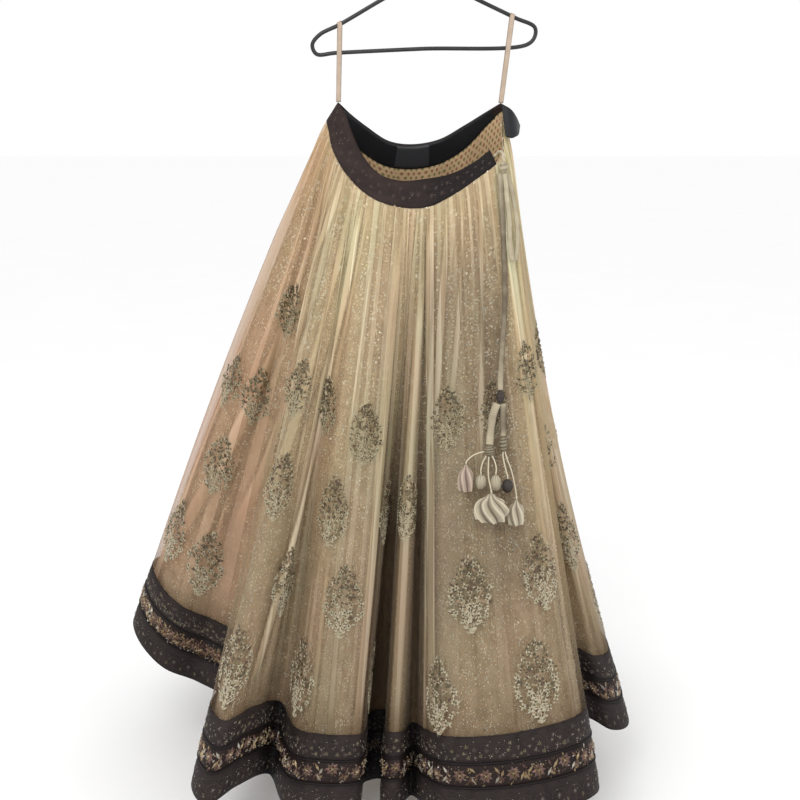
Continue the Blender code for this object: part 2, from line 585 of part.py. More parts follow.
# ---------------------------------------------------------------- drawstring
def side_of(name, toward):
    """The place just off a knot's or wrap's side, on the way towards a point."""
    x, y, z, half_width, half_height = next(row[1:6] for row in BEADS if row[0] == name)
    half = np.array((half_width, half_width, half_height))
    way = np.array(toward) - (x, y, z)
    surface = way / np.linalg.norm(way / half)
    normal = surface / half**2
    return (x, y, z) + surface + normal / np.linalg.norm(normal) * STRING_GAP


def top_of(name):
    """The place just above a bead or a tassel."""
    for row in BEADS:
        if row[0] == name:
            return np.array((row[1], row[2], row[3] + row[5] + STRING_GAP))
    row = next(row for row in TASSELS if row[0] == name)
    return np.array((row[1], row[2], row[3] + row[5] / 2 + STRING_GAP))


def build_drawstring():
    """The neck out of the band's end, four flat tapes and the thin strings of the tassels."""
    across = np.array((0.5, 0.0, 0.0))
    for name, (width, route) in TAPES.items():
        at, knots = smooth_curve(route, closed=False)
        path = at(even_places(at, knots, 3 * len(route) - 2, closed=False))
        add_wall(name, np.stack([path - across * width, path + across * width], axis=1), TAPE_WALL, "ribbon")
    tubes = [("dori_neck", NECK_TUBE, NECK_ROUTE)]
    for name, leaves, ends_on, between in STRINGS:
        end = top_of(ends_on)
        route = [side_of(leaves, between[0]), *between, end + (0.0, 0.0, STRING_DROP), end]
        tubes.append((name, STRING, route))
    for name, diameter, route in tubes:
        at, knots = smooth_curve(route, closed=False)
        length = np.linalg.norm(np.diff(route, axis=0), axis=1).sum()
        count = max(5, round(length / (2.5 * diameter)))
        add_tube(name, at(even_places(at, knots, count, closed=False)), diameter, "ivory")


def lathe(name, centre, rings, sides, colour):
    """A closed form of revolution: rings of radius (one value a side) and height, and two poles."""
    turns = 2 * np.pi * np.arange(sides) / sides
    circle = np.stack([np.cos(turns), np.sin(turns), 0.0 * turns], axis=1)
    points = [centre + circle * np.broadcast_to(radius, sides)[:, None] + (0.0, 0.0, height)
              for radius, height in rings[1:-1]]
    top = np.array(centre) + (0.0, 0.0, rings[0][1])
    low = np.array(centre) + (0.0, 0.0, rings[-1][1])
    points = np.vstack(points + [top[None], low[None]])
    faces = []
    for i in range(sides):
        near, far = i, (i + 1) % sides
        faces.append((near, far, len(points) - 2))
        for j in range(len(rings) - 3):
            faces.append((j * sides + near, (j + 1) * sides + near, (j + 1) * sides + far, j * sides + far))
        last = (len(rings) - 3) * sides
        faces.append((last + far, last + near, len(points) - 1))
    return add_mesh(name, points, faces, colour)


def build_beads_and_tassels():
    """Egg-shaped knots and beads, and pleated cloth tassels."""
    for name, x, y, z, half_width, half_height, colour in BEADS:
        turns = np.linspace(0.0, np.pi, BEAD_RINGS)
        rings = [(half_width * math.sin(a), half_height * math.cos(a)) for a in turns]
        lathe(name, (x, y, z), rings, BEAD_SIDES, colour)
    for name, x, y, z, radius, height, pleats, colour in TASSELS:
        sides = PLEAT_SIDES * pleats
        wave = np.cos(2 * np.pi * np.arange(sides) / PLEAT_SIDES)
        rings = [(0.0, height / 2)]
        rings += [(radius * share * (1.0 + depth * wave), height * (0.5 - down))
                  for down, share, depth in TASSEL_PROFILE]
        rings.append((0.0, height * (TASSEL_HOLLOW - 0.5)))
        lathe(name, (x, y, z), rings, sides, colour)


for old in list(bpy.data.objects):
    bpy.data.objects.remove(old)
build_net()
build_underskirt()
build_border()
build_waistband()
build_hanger()
build_loops()
build_drawstring()
build_beads_and_tassels()
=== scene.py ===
import math

import bpy
import mathutils
import numpy as np
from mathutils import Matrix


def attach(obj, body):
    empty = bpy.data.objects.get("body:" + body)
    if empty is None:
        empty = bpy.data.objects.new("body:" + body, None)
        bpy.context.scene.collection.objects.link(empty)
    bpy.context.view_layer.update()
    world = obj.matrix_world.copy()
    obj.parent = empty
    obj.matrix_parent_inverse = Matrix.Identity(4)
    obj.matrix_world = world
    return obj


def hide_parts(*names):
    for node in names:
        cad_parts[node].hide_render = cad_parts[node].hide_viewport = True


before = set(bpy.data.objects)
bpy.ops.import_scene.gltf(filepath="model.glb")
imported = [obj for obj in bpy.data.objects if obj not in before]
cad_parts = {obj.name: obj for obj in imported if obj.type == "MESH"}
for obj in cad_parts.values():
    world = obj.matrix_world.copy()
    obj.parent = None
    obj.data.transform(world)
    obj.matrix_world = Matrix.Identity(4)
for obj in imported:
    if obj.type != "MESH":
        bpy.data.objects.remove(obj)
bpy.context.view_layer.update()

# ================================================================ camera, lamps and floor
# A plain pale floor, a white surround and two wide soft lamps, as in a small photo studio.
# The camera stands level with the waistband, 2.2 m in front of it, and looks a little down.
CAMERA_PLACE = (-0.048, -2.20, -0.30)
CAMERA_TILT = 14.0           # degrees below level
CAMERA_LENS = 52.65          # mm on a 36 mm sensor
FLOOR_HEIGHT = -1.56
FLOOR_HALF = 30.0
SURROUND = (1.0, 1.0, 1.0, 1.0)
LAMPS = (
    # name     place                watts  width
    ("key",    (-0.9, -2.3, 1.3),   34.0,  1.6),
    ("fill",   (1.9, -1.7, 0.2),    8.0,   1.8),
)
LAMP_TARGET = (0.0, 0.0, -0.85)
FLOOR_CORNERS = ((-1, -1), (1, -1), (1, 1), (-1, 1))

camera = bpy.data.objects.new("camera", bpy.data.cameras.new("camera"))
camera.location = CAMERA_PLACE
camera.rotation_euler = (math.radians(90.0 - CAMERA_TILT), 0.0, 0.0)
camera.data.lens = CAMERA_LENS
camera.data.clip_end = 200.0
bpy.context.scene.collection.objects.link(camera)
bpy.context.scene.camera = camera

for name, place, watts, width in LAMPS:
    lamp = bpy.data.objects.new(name, bpy.data.lights.new(name, "AREA"))
    lamp.data.energy = watts
    lamp.data.size = width
    lamp.location = place
    toward = mathutils.Vector(LAMP_TARGET) - lamp.location
    lamp.rotation_euler = toward.to_track_quat("-Z", "Y").to_euler()
    bpy.context.scene.collection.objects.link(lamp)

world = bpy.data.worlds.new("surround")
world.use_nodes = True
world.node_tree.nodes["Background"].inputs["Color"].default_value = SURROUND
bpy.context.scene.world = world
bpy.context.scene.view_settings.view_transform = "Standard"


def linear(red, green, blue):
    """A colour from its 0-255 screen values: ((c / 255 + 0.055) / 1.055) ** 2.4, one value a channel."""
    return ((np.array((red, green, blue)) / 255.0 + 0.055) / 1.055) ** 2.4


class Signal:
    """One socket of a material's nodes. An expression on signals adds the Math nodes for it."""

    def __init__(self, finish, socket):
        self.finish = finish
        self.socket = socket

    def maths(self, operation, *values):
        """One Math node of the finish."""
        return self.finish.node("ShaderNodeMath", {"operation": operation}, dict(enumerate(values)))

    def __add__(self, other):
        return self.maths("ADD", self, other)

    def __sub__(self, other):
        return self.maths("SUBTRACT", self, other)

    def __rsub__(self, other):
        return self.maths("SUBTRACT", other, self)

    def __mul__(self, other):
        return self.maths("MULTIPLY", self, other)

    def __truediv__(self, other):
        return self.maths("DIVIDE", self, other)

    def __pow__(self, other):
        return self.maths("POWER", self, other)

    def __gt__(self, other):
        return self.maths("GREATER_THAN", self, other)

    def __abs__(self):
        return self.maths("ABSOLUTE", self)

    def floor(self):
        """The whole number below it."""
        return self.maths("FLOOR", self)

    def fract(self):
        """What it is over that whole number."""
        return self.maths("FRACT", self)

    __radd__ = __add__
    __rmul__ = __mul__


class Finish:
    """A Principled material: constants sit on the shader's own sockets, what varies is led in."""

    def __init__(self, name, **constants):
        self.material = bpy.data.materials.new(name)
        self.material.use_nodes = True
        self.tree = self.material.node_tree
        self.shader = self.tree.nodes["Principled BSDF"]
        for socket, value in constants.items():
            self.shader.inputs[socket.replace("_", " ")].default_value = value

    def node(self, kind, settings, inputs, output=0):
        """Adds one node of a kind: its settings first, then its sockets' values or signals."""
        made = self.tree.nodes.new(kind)
        for key, value in settings.items():
            setattr(made, key, value)
        for key, value in inputs.items():
            self.lead(value, made.inputs[key])
        return Signal(self, made.outputs[output])

    def lead(self, value, socket):
        """Puts a signal, a colour or a plain value into a socket."""
        if isinstance(value, Signal):
            self.tree.links.new(value.socket, socket)
        elif isinstance(value, np.ndarray):
            socket.default_value = (*value, 1.0) if len(value) == 3 and socket.type == "RGBA" else value
        else:
            socket.default_value = value

    def into(self, socket, signal):
        """Leads a signal into one of the shader's sockets."""
        self.tree.links.new(signal.socket, self.shader.inputs[socket])

    def carried(self, name, output="Fac"):
        """What the mesh carries at each point: a number, or a colour where output is Color."""
        return self.node("ShaderNodeAttribute", {"attribute_name": name}, {}, output)

    def place(self):
        """Object coordinates, in metres."""
        return self.node("ShaderNodeTexCoord", {}, {}, "Object")

    def flat(self):
        """The cloth's own coordinates, in metres along its cut."""
        return self.node("ShaderNodeUVMap", {"uv_map": "cut"}, {})

    def split(self, where):
        """The x and y of a place as two signals."""
        parts = self.node("ShaderNodeSeparateXYZ", {}, {0: where})
        return parts, Signal(self, parts.socket.node.outputs[1])

    def stretched(self, where, x, y, z=1.0):
        """A place multiplied by a factor along each axis."""
        return self.node("ShaderNodeVectorMath", {"operation": "MULTIPLY"}, {0: where, 1: (x, y, z)})

    def noise(self, where, scale, detail=2.0, roughness=0.5):
        """Noise of 0 to 1 with a scale of cells a metre."""
        inputs = {"Vector": where, "Scale": scale, "Detail": detail, "Roughness": roughness}
        return self.node("ShaderNodeTexNoise", {}, inputs)

    def streaks(self, where, x, y, detail=2.0, roughness=0.5):
        """Noise with x and y cells a metre along and down the cloth."""
        return self.noise(self.stretched(where, x, y), 1.0, detail, roughness)

    def cells(self, where, scale, **settings):
        """The distance to the nearest of scattered points, or to the edge between two."""
        return self.node("ShaderNodeTexVoronoi", settings, {"Vector": where, "Scale": scale}, "Distance")

    def between(self, share, first, second):
        """A colour between two: first where the share is 0, second where it is 1."""
        return self.node("ShaderNodeMix", {"data_type": "RGBA"}, {0: share, 6: first, 7: second}, 2)

    def times(self, first, second):
        """Two colours multiplied."""
        settings = {"data_type": "RGBA", "blend_type": "MULTIPLY"}
        return self.node("ShaderNodeMix", settings, {0: 1.0, 6: first, 7: second}, 2)

    def dyed(self, share, first, second):
        """Colours the surface between two dyes."""
        self.into("Base Color", self.between(share, first, second))

    def spread(self, value, low, high):
        """0 where the value is low, 1 where it is high, even between, as high as 1 and as low as 0."""
        return self.node("ShaderNodeMapRange", {}, {"Value": value, "From Min": low, "From Max": high})

    def raised(self, height, metres, strength):
        """Bumps the surface by a height signal of 0 to 1, which stands for so many metres."""
        inputs = {"Height": height, "Distance": metres, "Strength": strength}
        self.into("Normal", self.node("ShaderNodeBump", {}, inputs))


floor_finish = Finish("floor", Roughness=0.9)
floor_speckle = floor_finish.noise(floor_finish.place(), 3.0)
floor_finish.dyed(floor_speckle, linear(250, 250, 250), linear(253, 253, 253))
floor_mesh = bpy.data.meshes.new("floor")
floor_corners = [(x * FLOOR_HALF, y * FLOOR_HALF, FLOOR_HEIGHT) for x, y in FLOOR_CORNERS]
floor_mesh.from_pydata(floor_corners, [], [(0, 1, 2, 3)])
floor_mesh.materials.append(floor_finish.material)
floor = bpy.data.objects.new("floor", floor_mesh)
bpy.context.scene.collection.objects.link(floor)


# ================================================================ drawstring
# The dori is a narrow tube of the net and its lining, sewn and pressed flat. It comes out of the
# front band's end, is tied in a bow, and its two long ends are tied again low down. Each end is
# wrapped with thread, and thin strings of twisted thread carry cloth-covered beads and tassels.
STRING = 0.0024
STRING_GAP = 0.0005          # a string's end to the piece it meets
STRING_DROP = 0.0040         # its last stretch, straight down
NECK_TUBE = 0.0045
TAPE_WALL = 0.0022
TAPE_DENT = 0.0005           # depth of the pleats pressed into it
TAPE_WAVES = ((0.05, 0.011, 0.0), (0.04, 0.0047, 1.0))   # its uneven width: share, metres, phase
TAPE_LEAST = 0.010           # the width that it was cut to, where it is bunched narrower
STRANDS = 3                  # strands of a string
STRAND_DEPTH = 0.18          # how deep they sink between them, as a share of its radius
STRAND_TURN = 2.5            # diameters along it between one strand's place and the next one's
STRING_STEP = 0.0008
CURVE_STEPS = 4000
NECK_ROUTE = (
    (0.1203, -0.0555, -0.3839), (0.1236, -0.0533, -0.3814), (0.1278, -0.0558, -0.3762),
    (0.1326, -0.0660, -0.3752), (0.1354, -0.0780, -0.3810), (0.1358, -0.0850, -0.3872),
    (0.1358, -0.0850, -0.3912))
TAPES = {
    # name: width, pleats across it, how much painted shade it has halfway, route of its middle
    "dori_tail": (0.0100, 2, 0.75, (
        (0.1300, -0.0852, -0.4125), (0.1304, -0.0935, -0.4250), (0.1308, -0.1037, -0.4489),
        (0.1336, -0.1266, -0.5083), (0.1352, -0.1462, -0.5622), (0.1355, -0.1715, -0.6260),
        (0.1330, -0.1890, -0.6630), (0.1296, -0.2035, -0.6999), (0.1262, -0.2250, -0.7487),
        (0.1247, -0.2425, -0.7703))),
    "dori_bow": (0.0085, 1, 0.10, (
        (0.1375, -0.0885, -0.4120), (0.1390, -0.0985, -0.4260), (0.1405, -0.1107, -0.4484),
        (0.1440, -0.1231, -0.4822), (0.1450, -0.1360, -0.5160), (0.1460, -0.1470, -0.5446),
        (0.1510, -0.1480, -0.5600), (0.1560, -0.1400, -0.5560), (0.1590, -0.1310, -0.5393),
        (0.1600, -0.1180, -0.5090), (0.1565, -0.1020, -0.4718), (0.1510, -0.0900, -0.4411),
        (0.1470, -0.0850, -0.4250), (0.1425, -0.0835, -0.4120))),
    "dori_left": (0.0130, 3, 0.25, (
        (0.1195, -0.2455, -0.7937), (0.1150, -0.2500, -0.8030), (0.1110, -0.2560, -0.8150),
        (0.1075, -0.2670, -0.8350), (0.1048, -0.2808, -0.8570))),
    "dori_right": (0.0100, 2, 0.75, (
        (0.1300, -0.2420, -0.7947), (0.1298, -0.2480, -0.8080), (0.1294, -0.2570, -0.8240),
        (0.1289, -0.2695, -0.8445))),
}
STRINGS = (
    # name, the wrap that it leaves, the piece that it ends on, points between
    ("string_bud", "wrap_left", "bud_pink", ((0.0870, -0.2860, -0.8700), (0.0740, -0.2960, -0.8730))),
    ("string_bead_left", "wrap_left", "bead_left", ((0.0935, -0.2870, -0.8860), (0.0895, -0.2960, -0.8980))),
    ("string_tassel_main", "wrap_left", "tassel_main", (
        (0.1030, -0.2880, -0.8860), (0.1022, -0.3000, -0.9050), (0.1040, -0.3230, -0.9175))),
    ("string_bead_right", "wrap_left", "bead_right", (
        (0.1130, -0.2880, -0.8830), (0.1160, -0.2960, -0.8950))),
    ("string_tassel_right", "wrap_right", "tassel_right", (
        (0.1345, -0.2760, -0.8800), (0.1430, -0.2870, -0.9030), (0.1485, -0.3080, -0.9300))),
    ("string_bead_dark", "wrap_right", "bead_dark", ((0.1285, -0.2770, -0.8790), (0.1325, -0.2900, -0.8980))),
)
BEADS = {
    # name: x, y, z, half width, half height, kind
    "dori_knot":     (0.1358, -0.0850, -0.4020, 0.0080, 0.0100, "knot"),
    "dori_knot_low": (0.1246, -0.2432, -0.7825, 0.0070, 0.0115, "dark wrap"),
    "wrap_left":     (0.1045, -0.2820, -0.8675, 0.0085, 0.0100, "wrap"),
    "wrap_right":    (0.1289, -0.2700, -0.8600, 0.0070, 0.0150, "wrap"),
    "bead_left":     (0.0895, -0.3020, -0.9171, 0.0095, 0.0125, "bead"),
    "bead_right":    (0.1148, -0.3030, -0.9186, 0.0090, 0.0140, "bead"),
    "bead_dark":     (0.1350, -0.3025, -0.9239, 0.0095, 0.0120, "dark bead"),
}
TASSELS = {
    # name: x, y, z, radius, height, pleats, swirl, dye
    "bud_pink":     (0.0640, -0.3040, -0.9085, 0.0120, 0.0460, 5, 0.7, "pink"),
    "tassel_main":  (0.1050, -0.3350, -0.9500, 0.0255, 0.0450, 7, 1.3, "ivory"),
    "tassel_right": (0.1490, -0.3220, -0.9640, 0.0125, 0.0420, 5, 0.9, "ivory"),
}
TASSEL_PROFILE = (
    # down the height, radius share, pleat depth
    (0.00, 0.20, 0.00), (0.12, 0.34, 0.04), (0.30, 0.80, 0.10),
    (0.55, 1.00, 0.12), (0.80, 0.96, 0.14), (1.00, 0.78, 0.20))
TASSEL_INSIDE = ((0.94, 0.012), (0.80, 0.05), (0.50, 0.11))   # share of the rim's radius, up the height
TASSEL_HOLLOW = 0.14
# The second dye of each cloth is painted shade, laid into its folds and dents by the fold values.
DORI_CREAM = linear(184, 172, 144)
DORI_FOLD_SHADE = linear(88, 74, 54)
IVORY = linear(198, 188, 162)
IVORY_FOLD_SHADE = linear(108, 96, 76)
PINK = linear(192, 172, 152)
PINK_FOLD_SHADE = linear(108, 88, 78)
KNOT_DARK = linear(58, 48, 42)
WRAP_GREY = linear(140, 130, 106)
WRAP_FOLD_SHADE = linear(78, 68, 50)


def smooth_curve(points, closed=False):
    """A centripetal Catmull-Rom curve through points: cubic between neighbours, whose steps in the
    parameter are the square roots of their distances. Returns its function and its knots."""
    points = np.asarray(points, float)
    if closed:
        padded = np.vstack([points[-1:], points, points[:2]])
    else:
        padded = np.vstack([2 * points[0] - points[1], points, 2 * points[-1] - points[-2]])
    steps = np.sqrt(np.linalg.norm(np.diff(padded, axis=0), axis=1))[:, None]
    slopes = np.diff(padded, axis=0) / steps
    before, after = steps[:-1], steps[1:]
    tangents = (slopes[:-1] * after + slopes[1:] * before) / (before + after)
    knots = np.concatenate([[0.0], np.cumsum(steps[1:-1, 0])])

    def at(places):
        """The Hermite cubic of the span that each place lies in."""
        places = np.asarray(places, float)
        span = np.clip(np.searchsorted(knots, places, side="right") - 1, 0, len(knots) - 2)
        width = (knots[span + 1] - knots[span])[:, None]
        t = (places - knots[span])[:, None] / width
        start, end = padded[1 + span], padded[2 + span]
        return ((2 * t**3 - 3 * t**2 + 1) * start + (t**3 - 2 * t**2 + t) * width * tangents[span]
                + (3 * t**2 - 2 * t**3) * end + (t**3 - t**2) * width * tangents[span + 1])

    return at, knots


def ramp(value, start, reach):
    """0 up to the start and 1 once past it by the reach: (v - start) / reach, cut off at 0 and 1."""
    return np.clip((value - start) / reach, 0.0, 1.0)


def travelled(line):
    """The length along a line of points up to each of them."""
    return np.concatenate([[0.0], np.cumsum(np.linalg.norm(np.diff(line, axis=0), axis=1))])


def length_of(line):
    """The length of a line of points."""
    return float(travelled(line)[-1])


def evenly(points, count, closed=False):
    """Points at even distances along the smooth curve through a route."""
    at, knots = smooth_curve(points, closed)
    fine = np.linspace(0.0, knots[-1], CURVE_STEPS)
    length = travelled(at(fine))
    return at(np.interp(np.linspace(0.0, length[-1], count, endpoint=not closed), length, fine))


def unit(vectors):
    """Vectors divided by their lengths."""
    return vectors / np.linalg.norm(vectors, axis=-1, keepdims=True)


def grid_faces(first, second, first_closed=False, second_closed=False):
    """Quads of a grid of points, each (i, j), (i, j + 1), (i + 1, j + 1), (i + 1, j)."""
    index = np.arange(first * second).reshape(first, second)
    if first_closed:
        index = np.vstack([index, index[:1]])
    if second_closed:
        index = np.hstack([index, index[:, :1]])
    corners = [index[:-1, :-1], index[:-1, 1:], index[1:, 1:], index[1:, :-1]]
    return np.stack(corners, axis=-1).reshape(-1, 4)


def tube(path, across, ring, sizes=None, closed=False):
    """A ring of (x, y) points carried along a path, closed on itself or by a point at each end.

    P(s, t) = path(s) + size(s) (across(s) x(t) + over(s) y(t)), over = the path's way x across.
    """
    path = np.asarray(path, float)
    way = np.roll(path, -1, 0) - np.roll(path, 1, 0) if closed else np.gradient(path, axis=0)
    way = unit(way)
    across = np.broadcast_to(np.asarray(across, float), path.shape)
    across = unit(across - way * (across * way).sum(axis=1, keepdims=True))
    over = np.cross(way, across)
    ring = np.broadcast_to(ring, (len(path),) + np.shape(ring)[-2:])
    sizes = np.ones(len(path)) if sizes is None else np.asarray(sizes)
    grid = across[:, None] * ring[:, :, :1] + over[:, None] * ring[:, :, 1:]
    grid = path[:, None] + grid * sizes[:, None, None]
    count = ring.shape[1]
    points, faces = grid.reshape(-1, 3), [grid_faces(len(path), count, closed, True)]
    if not closed:
        here, last = np.arange(count), (len(path) - 1) * count
        after = np.roll(here, -1)
        faces.append(np.stack([np.full(count, len(points)), after, here], axis=1))
        faces.append(np.stack([np.full(count, len(points) + 1), last + here, last + after], axis=1))
        points = np.vstack([points, path[:1], path[-1:]])
    return points, faces


def round_ring(radius, count):
    """x = r cos t, y = r sin t."""
    turns = 2 * np.pi * np.arange(count) / count
    return np.stack([radius * np.cos(turns), radius * np.sin(turns)], axis=1)


def flat_ring(width, thickness, count, pleats=0, pleat_depth=0.0):
    """A flattened tube: x = w / 2 cos t, y = h / 2 sin t |sin t|**-0.4, less dents across it."""
    turns = 2 * np.pi * (np.arange(count) + 0.5) / count
    x = width / 2 * np.cos(turns)
    y = thickness / 2 * np.sin(turns) * np.abs(np.sin(turns)) ** -0.4
    dents = 0.5 - 0.5 * np.cos(2 * np.pi * pleats * (x / width + 0.5))
    return np.stack([x, y - np.sign(y) * pleat_depth * dents], axis=1)


def joined(parts):
    """Several (points, faces) as one, each face's numbers moved on by the points before it."""
    starts = np.cumsum([0] + [len(points) for points, _ in parts[:-1]])
    points = np.vstack([points for points, _ in parts])
    return points, [face + start for (_, faces), start in zip(parts, starts) for face in faces]


def new_piece(name, shape, finishes, slot, node=None, finish_of_face=None, **carried):
    """A named object at the origin from its points and arrays of faces, standing for a node if named.

    carried is what the mesh carries at each point: cut, its UV map, dye, a colour, or any number.
    What is given for one side of a wall is repeated for the other.
    """
    points, faces = shape
    points = np.reshape(points, (-1, 3)).astype(np.float32)
    corners = np.concatenate([face.ravel() for face in faces]).astype(np.int32)
    sides = np.concatenate([np.full(len(face), face.shape[1]) for face in faces])
    mesh = bpy.data.meshes.new(name)
    mesh.vertices.add(len(points))
    mesh.vertices.foreach_set("co", points.ravel())
    mesh.loops.add(len(corners))
    mesh.loops.foreach_set("vertex_index", corners)
    mesh.polygons.add(len(sides))
    mesh.polygons.foreach_set("loop_start", (np.cumsum(sides) - sides).astype(np.int32))
    if finish_of_face is not None:
        mesh.polygons.foreach_set("material_index", finish_of_face.astype(np.int32))
    mesh.update(calc_edges=True)
    for key, values in carried.items():
        wide = {"cut": 2, "dye": 3}.get(key, 1)
        values = np.resize(values, (len(points), wide)).astype(np.float32)
        if key == "cut":
            mesh.uv_layers.new(name=key).data.foreach_set("uv", values[corners].ravel())
        elif key == "dye":
            values = np.hstack([values, np.ones((len(values), 1), np.float32)])
            mesh.attributes.new(key, "FLOAT_COLOR", "POINT").data.foreach_set("color", values.ravel())
        else:
            mesh.attributes.new(key, "FLOAT", "POINT").data.foreach_set("value", values.ravel())
    mesh.shade_smooth()
    for finish in finishes:
        mesh.materials.append(finish.material)
    piece = bpy.data.objects.new(name, mesh)
    bpy.context.scene.collection.objects.link(piece)
    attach(piece, "root")
    if node:
        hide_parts(node)
    return piece


def fabric_finish(name, light, dark, fold_shade_part, thread, **constants):
    """Plain cloth: two dyes mixed by noise and, in the given part, by painted shade in its folds, raised by
    threads.
    """
    finish = Finish(name, **constants)
    where = finish.place()
    # Painted shade: where the carried fold value is high the cloth takes the dark dye.
    blotch = finish.noise(where, 60.0, 3.0) * (1.0 - fold_shade_part) + finish.carried("fold") * fold_shade_part
    finish.dyed(finish.spread(blotch, 0.2, 0.8), light, dark)
    weave = finish.noise(finish.stretched(where, thread, thread, thread * 0.25), 1.0, 2.0)
    finish.into("Roughness", weave * 0.25 + 0.5)
    finish.raised(weave, 0.0006, 0.6)
    return finish


dori_finish = fabric_finish("dori net tube", DORI_CREAM, DORI_FOLD_SHADE, 0.6, 900.0, Sheen_Weight=0.25)
ivory_finish = fabric_finish("ivory covered cloth", IVORY, IVORY_FOLD_SHADE, 0.7, 1100.0, Sheen_Weight=0.2)
pink_finish = fabric_finish("pinkish covered cloth", PINK, PINK_FOLD_SHADE, 0.7, 1100.0, Sheen_Weight=0.2)
wrap_finish = fabric_finish("wound grey thread", WRAP_GREY, WRAP_FOLD_SHADE, 0.7, 1500.0)
# KNOT_DARK * 0.4 is painted shade in the dark knots' folds.
knot_finish = fabric_finish("dark wound thread", KNOT_DARK, KNOT_DARK * 0.4, 0.5, 1500.0)


def egg(centre, half_width, half_height, wraps, wrap_depth, gathers, gather_depth, sides=40, rings=36):
    """A knot or bead, pole to pole: r(a, t) = w sin a (1 + wraps + gathers near the poles).

    wraps are ridges that wind round it, d sin(n a + t), gathers are dents that run to its poles.
    """
    a = np.linspace(0.0, np.pi, rings)[1:-1, None]
    t = 2 * np.pi * np.arange(sides)[None, :] / sides
    ridge = wrap_depth * np.sin(2 * wraps * a + t)
    dent = gather_depth * np.cos(gathers * t) * np.cos(a) ** 2
    radius = half_width * np.sin(a) * (1.0 + ridge + dent)
    height = half_height * np.cos(a) + 0.0 * t
    grid = np.stack([radius * np.cos(t), radius * np.sin(t), height], axis=-1) + centre
    # Painted shade: darker in the hollows between its wraps and gathers.
    fold = 0.5 - 0.5 * (ridge + dent) / max(wrap_depth + gather_depth, 1e-6)
    return closed_lathe(grid, fold, centre, half_height, -half_height)


def closed_lathe(grid, fold, centre, top, low):
    """Closes rings of points, top to bottom, with a point above and one below: the shape, and the painted
    shade of its folds.
    """
    rings, sides = grid.shape[:2]
    here = np.arange(sides)
    after, last = np.roll(here, -1), (rings - 1) * sides
    poles = np.array([(0.0, 0.0, top), (0.0, 0.0, low)]) + centre
    points = np.vstack([grid.reshape(-1, 3), poles])
    faces = [grid_faces(rings, sides, False, True)[:, [0, 3, 2, 1]]]
    faces.append(np.stack([here, after, np.full(sides, rings * sides)], axis=1))
    faces.append(np.stack([last + after, last + here, np.full(sides, rings * sides + 1)], axis=1))
    return (points, faces), np.concatenate([fold.ravel(), [fold[0].mean(), fold[-1].mean()]])


bead_looks = {
    # kind: finish, winding ridges, their depth, gathers, their depth
    "knot":      (dori_finish, 3, 0.10, 3, 0.10),
    "dark wrap": (knot_finish, 6, 0.05, 0, 0.0),
    "wrap":      (wrap_finish, 7, 0.045, 0, 0.0),
    "bead":      (ivory_finish, 0, 0.0, 9, 0.10),
    "dark bead": (knot_finish, 0, 0.0, 9, 0.08),
}
for name, (x, y, z, half_width, half_height, kind) in BEADS.items():
    finish, *ridges = bead_looks[kind]
    shape, fold = egg(np.array((x, y, z)), half_width, half_height, *ridges)
    slot = "drawstring" if name.startswith("dori") else "tassel"
    new_piece(name + "_sewn", shape, [finish], slot, name, fold=fold)


def tulip(centre, radius, height, pleats, swirl, rings=40, sides_a_pleat=16):
    """A pleated cup, mouth down: r(h, t) = R p(h) (1 + d(h) (cos n (t - swirl h) + fine creases)).

    p and d are smooth curves through the profile; the hollow turns in below the rim.
    """
    down, share, depth = np.array(TASSEL_PROFILE).T
    h = np.linspace(0.0, 1.0, rings)[1:]
    profile, knots = smooth_curve(np.stack([down, share, depth], axis=1))
    fine = profile(np.linspace(0.0, knots[-1], 400))
    share, depth = np.interp(h, fine[:, 0], fine[:, 1]), np.interp(h, fine[:, 0], fine[:, 2])
    t = 2 * np.pi * np.arange(pleats * sides_a_pleat)[None, :] / (pleats * sides_a_pleat)
    turned = t - swirl * h[:, None]
    creases = (np.cos(pleats * turned) + 0.35 * np.cos(3 * pleats * turned + 1.0)
               + 0.25 * np.cos(2 * t + h[:, None]))
    ring = radius * share[:, None] * (1.0 + depth[:, None] * creases)
    rim_in, hollow = np.array(TASSEL_INSIDE).T
    inner = ring[-1] * rim_in[:, None]
    z = np.concatenate([0.5 - h, hollow - 0.5]) * height
    ring = np.vstack([ring, inner])
    grid = np.stack([ring * np.cos(t), ring * np.sin(t), z[:, None] + 0.0 * ring], axis=-1) + centre
    # Painted shade: darker in the hollows of its pleats.
    fold = 0.5 - 0.35 * np.vstack([creases, np.tile(creases[-1], (3, 1))])
    return closed_lathe(grid, fold, centre, height / 2, height * (TASSEL_HOLLOW - 0.5))


for name, (x, y, z, radius, height, pleats, swirl, dye) in TASSELS.items():
    finish, slot = (pink_finish, "tassel_pink") if dye == "pink" else (ivory_finish, "tassel")
    shape, fold = tulip(np.array((x, y, z)), radius, height, pleats, swirl)
    new_piece(name + "_sewn", shape, [finish], slot, name, fold=fold)


def side_of(name, toward):
    """The place just off a wrap's side, towards a point: centre + w / |w / half| + gap x normal."""
    x, y, z, half_width, half_height, _ = BEADS[name]
    half = np.array((half_width, half_width, half_height))
    way = np.array(toward) - (x, y, z)
    surface = way / np.linalg.norm(way / half)
    return (x, y, z) + surface + unit(surface / half**2) * STRING_GAP


def top_of(name):
    """The place just above a bead or a tassel."""
    x, y, z = (BEADS | TASSELS)[name][:3]
    above = BEADS[name][4] if name in BEADS else TASSELS[name][4] / 2
    return np.array((x, y, z + (above + STRING_GAP)))


def twisted_ring(radius, count, turn):
    """A cord of n strands: r(t) = R (1 - d + d |cos(n (t - turn) / 2)|)."""
    t = 2 * np.pi * np.arange(count)[None, :] / count
    strand = np.abs(np.cos(STRANDS * (t - turn[:, None]) / 2))
    r = radius * (1.0 - STRAND_DEPTH + STRAND_DEPTH * strand)
    return np.stack([r * np.cos(t), r * np.sin(t)], axis=-1)


